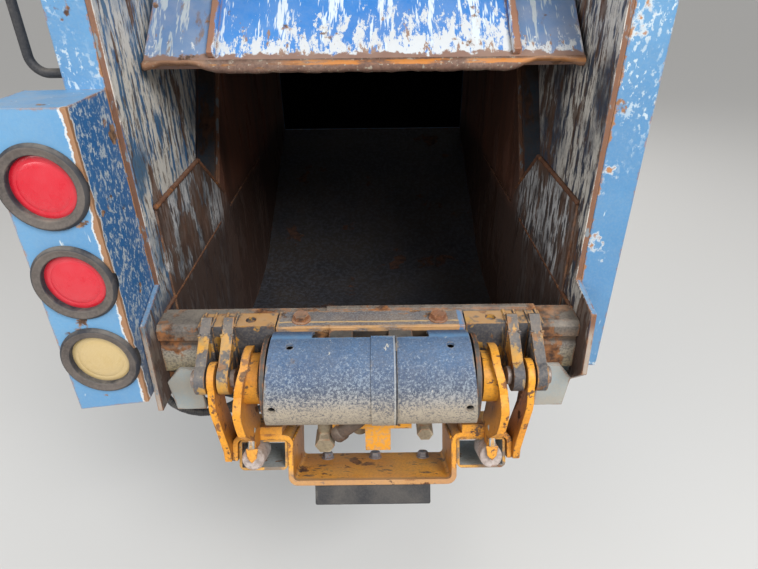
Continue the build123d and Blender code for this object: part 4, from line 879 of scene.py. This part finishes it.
def finishNode(node, material, width):
    mesh = nodes[node].data.copy()
    work = bmesh.new()
    work.from_mesh(mesh)
    bmesh.ops.remove_doubles(work, verts=work.verts, dist=2e-5)
    bmesh.ops.dissolve_limit(work, angle_limit=math.radians(0.5), verts=work.verts, edges=work.edges)
    work.to_mesh(mesh)
    work.free()
    mesh.polygons.foreach_set("use_smooth", np.ones(len(mesh.polygons), bool))
    piece = addPiece(node + "_worn", mesh, material, node, replaced=(node,))
    roundEdges(piece, width)


for nodeName, (material, width) in nodeLooks.items():
    finishNode(nodeName, material, width)
print("nodes finished:", len(nodeLooks))

# Turned, swept and flat detail pieces, each built from grids of points


def gridFaces(rows, columns, closedRows, closedColumns, offset):
    # one quad between each point and its next ones along the rows and the columns
    i = np.arange(rows if closedRows else rows - 1)
    j = np.arange(columns if closedColumns else columns - 1)
    i, j = (part.ravel() for part in np.meshgrid(i, j, indexing="ij"))
    nextI, nextJ = (i + 1) % rows, (j + 1) % columns
    corners = (i * columns + j, i * columns + nextJ, nextI * columns + nextJ, nextI * columns + j)
    return np.stack(corners, 1) + offset


def meshOf(name, grids, smooth=True):
    # grids is a list of (points of shape rows by columns by 3, closedRows, closedColumns)
    points, faces, offset = [], [], 0
    for grid, closedRows, closedColumns in grids:
        rows, columns = grid.shape[:2]
        points.append(grid.reshape(-1, 3))
        faces.append(gridFaces(rows, columns, closedRows, closedColumns, offset))
        offset += rows * columns
    mesh = bpy.data.meshes.new(name)
    mesh.from_pydata(np.concatenate(points), [], np.concatenate(faces))
    work = bmesh.new()
    work.from_mesh(mesh)
    bmesh.ops.remove_doubles(work, verts=work.verts, dist=1e-6)
    bmesh.ops.recalc_face_normals(work, faces=work.faces)
    work.to_mesh(mesh)
    work.free()
    mesh.polygons.foreach_set("use_smooth", np.full(len(mesh.polygons), smooth))
    return mesh


def axes(direction):
    # a unit vector along the direction and two square to it
    along = np.array(direction, float)
    along /= np.linalg.norm(along)
    helper = np.array((0.0, 0.0, 1.0)) if abs(along[2]) < 0.9 else np.array((0.0, 1.0, 0.0))
    side = np.cross(helper, along)
    side /= np.linalg.norm(side)
    return along, side, np.cross(along, side)


def ringOf(count, side, other):
    # points evenly round a circle: the cosine of the angle times side plus its sine times other
    angle = np.linspace(0.0, 2 * math.pi, count, endpoint=False)[:, None]
    return np.cos(angle) * side[..., None, :] + np.sin(angle) * other[..., None, :]


def turned(profile, centre, direction, count, flats=None):
    # each point of the profile is (radius, height along the axis); flats is a hexagon's half width that
    # cuts every radius to half width / cos(angle within its sixth of the turn)
    along, side, other = axes(direction)
    angle = np.linspace(0.0, 2 * math.pi, count, endpoint=False)
    radius, height = np.array(profile, float).T
    radius = np.repeat(radius[:, None], count, 1)
    if flats:
        sixth = np.mod(angle, math.pi / 3) - math.pi / 6
        radius = np.minimum(radius, flats / np.cos(sixth))
    rings = radius[:, :, None] * ringOf(count, side, other)
    return np.array(centre, float) + height[:, None, None] * along + rings, False, True


def capOf(ring):
    # a ring of points and its middle, as the two rows of a flat end
    return np.stack((np.repeat(ring.mean(axis=0)[None], len(ring), 0), ring))


def smoothPath(points, steps):
    # a Catmull-Rom curve through the points
    points = np.array(points, float)
    ends = np.vstack((2 * points[0] - points[1], points, 2 * points[-1] - points[-2]))
    t = np.linspace(0.0, 1.0, steps, endpoint=False)[None, :, None]
    a, b, c, d = (ends[i:len(ends) - 3 + i, None, :] for i in range(4))
    curve = 0.5 * (2 * b + (c - a) * t + (2 * a - 5 * b + 4 * c - d) * t**2 + (3 * b - a - 3 * c + d) * t**3)
    return np.vstack((curve.reshape(-1, 3), points[-1]))


def tube(path, radius, count, helper, ripple=0.0, pitch=0.0045):
    # a round section carried along the path; a weld's radius swells with a sine of the length run so far
    path = np.array(path, float)
    tangent = np.gradient(path, axis=0)
    tangent /= np.linalg.norm(tangent, axis=1)[:, None]
    side = np.cross(tangent, np.array(helper))
    side /= np.linalg.norm(side, axis=1)[:, None]
    other = np.cross(tangent, side)
    run = np.concatenate(([0.0], np.cumsum(np.linalg.norm(np.diff(path, axis=0), axis=1))))
    swell = ripple * np.sin(2 * math.pi * run / pitch) + 0.6 * ripple * np.sin(run * 331.0 + 1.0)
    swell = radius * (1 + swell)
    swell[0] = swell[-1] = radius * 0.15
    return path[:, None, :] + swell[:, None, None] * ringOf(count, side, other), False, True


def straight(start, end, step=0.0012):
    start, end = np.array(start, float), np.array(end, float)
    count = max(3, int(np.linalg.norm(end - start) / step))
    return start + np.linspace(0.0, 1.0, count)[:, None] * (end - start)


def bead(corners, radius):
    # a weld bead along straight runs between the corners
    runs = [straight(a, b) for a, b in zip(corners[:-1], corners[1:])]
    path = np.vstack([runs[0]] + [run[1:] for run in runs[1:]])
    return tube(path, radius, 8, (0.31, 0.22, 0.92), ripple=0.16)


def hexBolt(place, direction, size, height, washer):
    # a hexagon head with chamfered corners on a round washer
    half = size / 2
    head = [
        (0.0, washer[1] - 0.001), (half * 1.2, washer[1] - 0.001), (half * 1.2, washer[1] + height * 0.82),
        (half * 1.02, washer[1] + height), (0.0, washer[1] + height),
    ]
    ring = [
        (0.0, -0.001), (washer[0], -0.001), (washer[0], washer[1] * 0.8), (washer[0] * 0.96, washer[1]),
        (0.0, washer[1]),
    ]
    return [turned(head, place, direction, 36, flats=half), turned(ring, place, direction, 36)]


# Two rusty bolts through the top of the mount bar
barBoltSet = {"places": (-0.119, 0.116), "y": -0.052, "size": 0.024, "height": 0.009, "washer": (0.0165, 0.0025)}


def makeBarBolts(settings):
    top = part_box("tipper_mount_bar")[1].z
    grids = []
    for x in settings["places"]:
        place = (tipperX + x, postRearY + settings["y"], top)
        grids += hexBolt(place, (0, 0, 1), settings["size"], settings["height"], settings["washer"])
    addGrids("barBolts", grids, boltRust, "tipper_mount_bar", smooth=False)


makeBarBolts(barBoltSet)

# Saddle: bolts through the front of its floor, which hold the buffer; edge is its rear lower edge
saddleSet = {"edge": (-0.193, -0.235), "fall": math.radians(27.8), "plate": 0.009}
saddleUp = (0.0, math.sin(saddleSet["fall"]), math.cos(saddleSet["fall"]))


def slopePlace(origin, x, back, up):
    # metres forward along the saddle's slope and square up from the origin, which is given as at() takes it
    y = origin[0] + back * saddleUp[2] + up * saddleUp[1]
    z = origin[1] - back * saddleUp[1] + up * saddleUp[2]
    return at(tipperX + x, y, z)


def saddlePlace(x, back, up):
    return slopePlace(saddleSet["edge"], x, back, up)


saddleBoltSet = {
    "across": (-0.087, 0.004, 0.095), "back": 0.112, "size": 0.017, "height": 0.009, "washer": (0.012, 0.002),
}


def makeSaddleBolts(settings):
    grids = []
    for x in settings["across"]:
        place = saddlePlace(x, settings["back"], saddleSet["plate"] / 2)
        grids += hexBolt(place, saddleUp, settings["size"], settings["height"], settings["washer"])
    addGrids("saddleBolts", grids, boltGrey, "tipper_saddle", smooth=False)


makeSaddleBolts(saddleBoltSet)

# Lamps: slightly domed lenses set back in high rubber grommets with a rolled edge
lensProfile = [
    (0.0, 0.0), (0.01, -0.0001), (0.02, -0.0006), (0.03, -0.0014), (0.0362, -0.002), (0.0366, -0.0022),
    (0.037, -0.0021), (0.0425, -0.0026), (0.0462, -0.0034), (0.0474, -0.0042), (0.0474, -0.014), (0.0, -0.014),
]
grommetProfile = [
    (0.045, -0.014), (0.061, -0.01), (0.0622, -0.001), (0.0632, 0.0008), (0.0631, 0.003), (0.0618, 0.0054),
    (0.06, 0.0073), (0.0582, 0.0081), (0.0562, 0.0078), (0.054, 0.0068), (0.051, 0.0061), (0.049, 0.006),
    (0.0476, 0.0054), (0.0468, 0.004), (0.0464, 0.001), (0.0464, -0.012), (0.045, -0.014),
]


def makeLamps():
    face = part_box("lamp_box")[0].y
    rings = []
    for node, lens in zip(lampNodes, (redLens, redLens, creamLens)):
        low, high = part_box(node)
        centre = ((low.x + high.x) / 2, face, (low.z + high.z) / 2)
        dome = turned(lensProfile, centre, (0, -1, 0), 72)
        addGrids(node + "_dome", [dome], lens, node, replaced=(node,))
        rings.append(turned(grommetProfile, centre, (0, -1, 0), 72))
    addGrids("grommet_rings", rings, grommetRubber, "lamp_grommets", replaced=("lamp_grommets",))


makeLamps()

# The blade's lip: a worn steel edge whose height changes along it
# profile: (forward of the blade's hinge, above it, share of the hang that the point takes)
lipSet = {
    "fold": wingWidth, "foldLead": 0.012, "foldLength": 0.05, "endLength": 0.04, "drop": 0.007, "lift": 0.007,
    "endDrop": 0.001, "count": 240, "hinge": (0.714, 0.261),
    "dents": ((0.0006, 61.0, 0.0), (0.0004, 143.0, 1.0), (0.0003, 310.0, 0.0)),
    "profile": [
        (-0.7055, -0.259, 0.0), (-0.699, -0.2635, 0.0), (-0.6935, -0.2685, 0.0), (-0.694, -0.271, 0.25),
        (-0.7, -0.2732, 0.7), (-0.706, -0.2735, 1.0), (-0.7115, -0.2705, 1.0), (-0.714, -0.266, 1.0),
        (-0.7125, -0.262, 0.55),
    ],
}


def wave(share):
    # 0 up to 0, 1 from 1 on, a half cosine between them
    return 0.5 - 0.5 * np.cos(math.pi * np.clip(share, 0.0, 1.0))


def makeLip(settings):
    # over the middle the lip hangs by the drop; past each fold it rises to the lift along a cosine, stays
    # there and comes down again at the blade's ends; small dents are sums of sines; the left end is closed
    low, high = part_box("sweep_lip")
    hinge = np.array((low.y, high.z)) + settings["hinge"]
    x = np.linspace(low.x, high.x, settings["count"])
    pastFold = np.abs(x) - (high.x - settings["fold"]) + settings["foldLead"]
    rise = wave(pastFold / settings["foldLength"])
    back = wave((np.abs(x) - (high.x - settings["endLength"])) / settings["endLength"])
    lift = settings["lift"]
    hang = settings["drop"] - rise * (settings["drop"] + lift) + back * (lift + settings["endDrop"])
    for depth, rate, start in settings["dents"]:
        hang = hang + depth * np.sin(x * rate + start)
    forward, up, share = np.array(settings["profile"]).T
    points = np.empty((settings["count"], len(share), 3))
    points[:, :, 0] = x[:, None]
    points[:, :, 1] = hinge[0] + forward
    points[:, :, 2] = hinge[1] + up - share * hang[:, None]
    grids = [(points, False, True), (capOf(points[0]), False, True)]
    addGrids("worn_lip", grids, lipSteel, "sweep_lip", replaced=("sweep_lip",))


makeLip(lipSet)

# Weld beads on the wear plates' borders, the ears' roots and the saddle's folds
# wear, sill, earTop and earRear: the beads' corners as (forward, above the sill's top); ear and earPlate: the
# ears' inner faces and thickness; saddle: the ends of the beads in its folds, forward from its rear edge
weldSet = {
    "wear": [(0.043, 0.178), (0.307, 0.18), (0.462, 0.052)], "wearRadius": 0.0042, "wearInset": 0.0035,
    "sill": [(-0.012, -0.002), (0.4, -0.002)], "sillRadius": 0.0035, "sillInset": 0.002,
    "ear": (0.231, 0.269), "earPlate": 0.018, "earRadius": 0.0028,
    "earTop": [(-0.03, 0.0085), (-0.072, 0.0085)], "earRear": [(-0.0865, 0.004), (-0.0865, -0.074)],
    "saddle": (0.004, 0.08), "saddleX": 0.1355, "saddleUp": (0.005, 0.075), "saddleRadius": 0.0022,
}


def makeWelds(settings):
    wearBeads, saddleBeads, earBeads = [], [], []
    for side in (-1, 1):
        for part in ("wear", "sill"):
            x = side * (wallInside - settings[part + "Inset"])
            wearBeads.append(bead([at(x, y, z) for y, z in settings[part]], settings[part + "Radius"]))
        for earX in settings["ear"]:
            for offset in (0.0, settings["earPlate"]):
                x = tipperX + side * (earX + offset)
                for part in ("earTop", "earRear"):
                    earBeads.append(bead([at(x, y, z) for y, z in settings[part]], settings["earRadius"]))
        for up in settings["saddleUp"]:
            corners = [saddlePlace(side * settings["saddleX"], back, up) for back in settings["saddle"]]
            saddleBeads.append(bead(corners, settings["saddleRadius"]))
    addGrids("wear_beads", wearBeads, beadRust, "wear_liners")
    addGrids("ear_beads", earBeads, earBlack, "tipper_brackets")
    addGrids("saddle_beads", saddleBeads, tipperYellow, "tipper_saddle")


makeWelds(weldSet)

# Stud hooks: a bent rod over each stud with a small yellow shield on the stud's face
# rod: (out of the stud's face, up from its middle); shield: its outline (across, up); layers: (out, share of
# the outline's size)
hookSet = {
    "stud": (-0.188, -0.179), "face": 0.01, "x": 0.1985, "rodRadius": 0.005,
    "rod": [(-0.01, 0.052), (-0.001, 0.042), (0.003, 0.03), (0.0035, 0.02)],
    "shield": [(-0.01, 0.02), (0.01, 0.02), (0.0075, 0.004), (0.0, -0.004), (-0.0075, 0.004)],
    "layers": ((-0.0005, 1.0), (0.0022, 1.0), (0.003, 0.86)),
}


def studPlace(x, out, up):
    # metres out of the stud's face and square up from its middle
    return slopePlace(hookSet["stud"], x, -(out + hookSet["face"]), up)


def makeHooks(settings):
    rods, shields = [], []
    outline = np.array(settings["shield"])
    middle = outline.mean(axis=0)
    for side in (-1, 1):
        x = side * settings["x"]
        path = smoothPath([studPlace(x, out, up) for out, up in settings["rod"]], 10)
        rods.append(tube(path, settings["rodRadius"], 14, (1.0, 0.0, 0.0)))
        layers = np.array([
            [studPlace(x + u, out, v) for u, v in (outline - middle) * share + middle]
            for out, share in settings["layers"]
        ])
        shields += [(layers, False, True), (capOf(layers[-1]), False, True)]
    addGrids("hook_rods", rods, tubeGrey, "saddle_studs")
    addGrids("hook_shields", shields, tipperYellow, "saddle_studs", "tipper_saddle", smooth=False)


makeHooks(hookSet)

# A bent connector under the drum, and the lamps' wiring conduit that loops below the sill's left end
hoseSet = {
    "connector": [
        (-0.004, -0.142, -0.112), (-0.014, -0.15, -0.128), (-0.034, -0.15, -0.146), (-0.056, -0.146, -0.168),
    ],
    "connectorRadius": 0.0125,
    "collar": [(0.0, -0.012), (0.0145, -0.012), (0.0155, -0.01), (0.0155, 0.002), (0.0145, 0.004), (0.0, 0.004)],
    "conduit": [
        (-0.42, 0.012, -0.128), (-0.416, 0.004, -0.17), (-0.392, -0.01, -0.212), (-0.345, -0.014, -0.234),
        (-0.29, -0.01, -0.228), (-0.24, 0.0, -0.196), (-0.205, 0.01, -0.15), (-0.19, 0.018, -0.13),
    ],
    "conduitRadius": 0.0075,
}


def makeHoses(settings):
    path = smoothPath([at(*place) for place in settings["connector"]], 8)
    grids = [tube(path, settings["connectorRadius"], 20, (0.0, 1.0, 0.0))]
    grids.append(turned(settings["collar"], path[-2], path[-1] - path[-4], 24))
    addGrids("bent_connector", grids, fittingBrown, "hydraulic_hoses")
    path = smoothPath([at(*place) for place in settings["conduit"]], 90)
    grids = [tube(path, settings["conduitRadius"], 14, (0.1, 1.0, 0.2), ripple=0.05)]
    addGrids("lamp_conduit", grids, rubberBlack, "hydraulic_hoses")


makeHoses(hoseSet)

# Front frame: a bulb seal around the opening
sealSet = {"inset": 0.022, "radius": 0.008, "corner": 0.03}


def makeSeal(settings):
    low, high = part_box("seal_frame")
    inset, corner = settings["inset"], settings["corner"]
    left, right = low.x + inset, high.x - inset
    bottom, top = low.z + inset, high.z - inset
    quarter = np.linspace(0.0, math.pi / 2, 9)
    path = []
    for centreX, centreZ, turn in (
        (right - corner, top - corner, 0.0), (left + corner, top - corner, math.pi / 2),
        (left + corner, bottom + corner, math.pi), (right - corner, bottom + corner, 1.5 * math.pi),
    ):
        x, z = centreX + corner * np.cos(quarter + turn), centreZ + corner * np.sin(quarter + turn)
        path.append(np.stack((x, np.full(len(x), high.y), z), 1))
    path = np.concatenate(path)
    tangent = np.roll(path, -1, 0) - np.roll(path, 1, 0)
    tangent /= np.linalg.norm(tangent, axis=1)[:, None]
    forward = np.array((0.0, 1.0, 0.0))
    points = path[:, None, :] + settings["radius"] * ringOf(12, np.cross(tangent, forward), forward)
    addGrids("bulb_seal", [(points, True, True)], rubberBlack, "seal_frame", "saddle_buffer")


makeSeal(sealSet)

# Grab handle: end flanges with screws
handleSet = {
    "inset": 0.007,
    "flange": [
        (0.0, -0.001), (0.021, -0.001), (0.021, 0.004), (0.019, 0.005), (0.01, 0.005), (0.009, 0.01),
        (0.0, 0.01),
    ],
    "screw": (-0.005, 0.0, 0.015), "size": 0.008, "height": 0.004, "washer": (0.0052, 0.0008),
}


def makeHandleEnds(settings):
    low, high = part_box("grab_handle")
    grids = []
    for z in (low.z + settings["inset"], high.z - settings["inset"]):
        centre = np.array((high.x, (low.y + high.y) / 2, z))
        grids.append(turned(settings["flange"], centre, (-1, 0, 0), 32))
        for side in (-1, 1):
            place = centre + np.array(settings["screw"]) * (1, 1, side)
            grids += hexBolt(place, (-1, 0, 0), settings["size"], settings["height"], settings["washer"])
    addGrids("handle_ends", grids, cylinderBlack, "grab_handle", smooth=False)


makeHandleEnds(handleSet)
print("detail pieces made")

# Stage: a plain pale floor, soft lamps, and a dark board behind the opening that shows only from the rear,
# painted shade that stands for the dark inside of the body
stageSet = {
    "floorBelowSill": 0.9,
    "floorHalf": 40.0,
    "floorColour": (0.62, 0.61, 0.59),
    "worldStrength": 0.55,
    "worldColour": (1.0, 1.0, 1.0),
    "boardGap": 0.012,
    "boardShadeColour": (0.004, 0.004, 0.005),
    "boardPasses": 0.015,
}


def flatPiece(name, corners, material):
    mesh = bpy.data.meshes.new(name)
    mesh.from_pydata(corners, [], [(0, 1, 2, 3)])
    made = bpy.data.objects.new(name, mesh)
    scene.collection.objects.link(made)
    mesh.materials.append(material)


def makeStage(settings):
    z = sillTopZ - settings["floorBelowSill"]
    h = settings["floorHalf"]
    material, shader = newMaterial("floorFinish")
    plug(shader, "Base Color", (*settings["floorColour"], 1.0))
    plug(shader, "Roughness", 0.9)
    flatPiece("floor", [(-h, -h, z), (h, -h, z), (h, h, z), (-h, h, z)], material)
    world = bpy.data.worlds.new("studio")
    world.use_nodes = True
    background = world.node_tree.nodes["Background"]
    plug(background, "Color", (*settings["worldColour"], 1.0))
    plug(background, "Strength", settings["worldStrength"])
    scene.world = world


def makeBoard(settings):
    low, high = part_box("seal_frame")
    y = high.y + settings["boardGap"]
    material, shader = newMaterial("shadeBoard")
    material.node_tree.nodes.remove(shader)
    # painted shade: near black where the camera sees the board from the rear
    dark = newValue("BsdfDiffuse", {"Color": (*settings["boardShadeColour"], 1.0)})
    behind = newValue("NewGeometry", output="Backfacing")
    unseen = 1.0 - newValue("LightPath", output="Is Camera Ray")
    passed = calc("MAXIMUM", behind, unseen * settings["boardPasses"])
    both = newValue("MixShader", {0: passed, 1: dark, 2: newValue("BsdfTransparent")})
    plug(material.node_tree.nodes["Material Output"], "Surface", both)
    corners = [(low.x, y, low.z), (high.x, y, low.z), (high.x, y, high.z), (low.x, y, high.z)]
    flatPiece("hopperShadeBoard", corners, material)


def makeLamp(name, place, target, size, energy):
    data = bpy.data.lights.new(name, "AREA")
    data.shape, data.size, data.energy = "SQUARE", size, energy
    lamp = bpy.data.objects.new(name, data)
    scene.collection.objects.link(lamp)
    lamp.location = at(*place)
    lamp.rotation_euler = (at(*target) - lamp.location).to_track_quat("-Z", "Y").to_euler()


makeStage(stageSet)
makeBoard(stageSet)
makeLamp("keyLamp", (1.6, -2.6, 2.8), (0.0, 0.1, 0.1), 1.6, 150.0)
makeLamp("fillLamp", (-2.4, -2.2, 1.6), (0.0, 0.1, 0.1), 2.0, 50.0)
makeLamp("backLamp", (0.5, 4.0, 3.0), (0.0, 0.6, 0.6), 2.5, 80.0)
scene.view_settings.view_transform = "Standard"
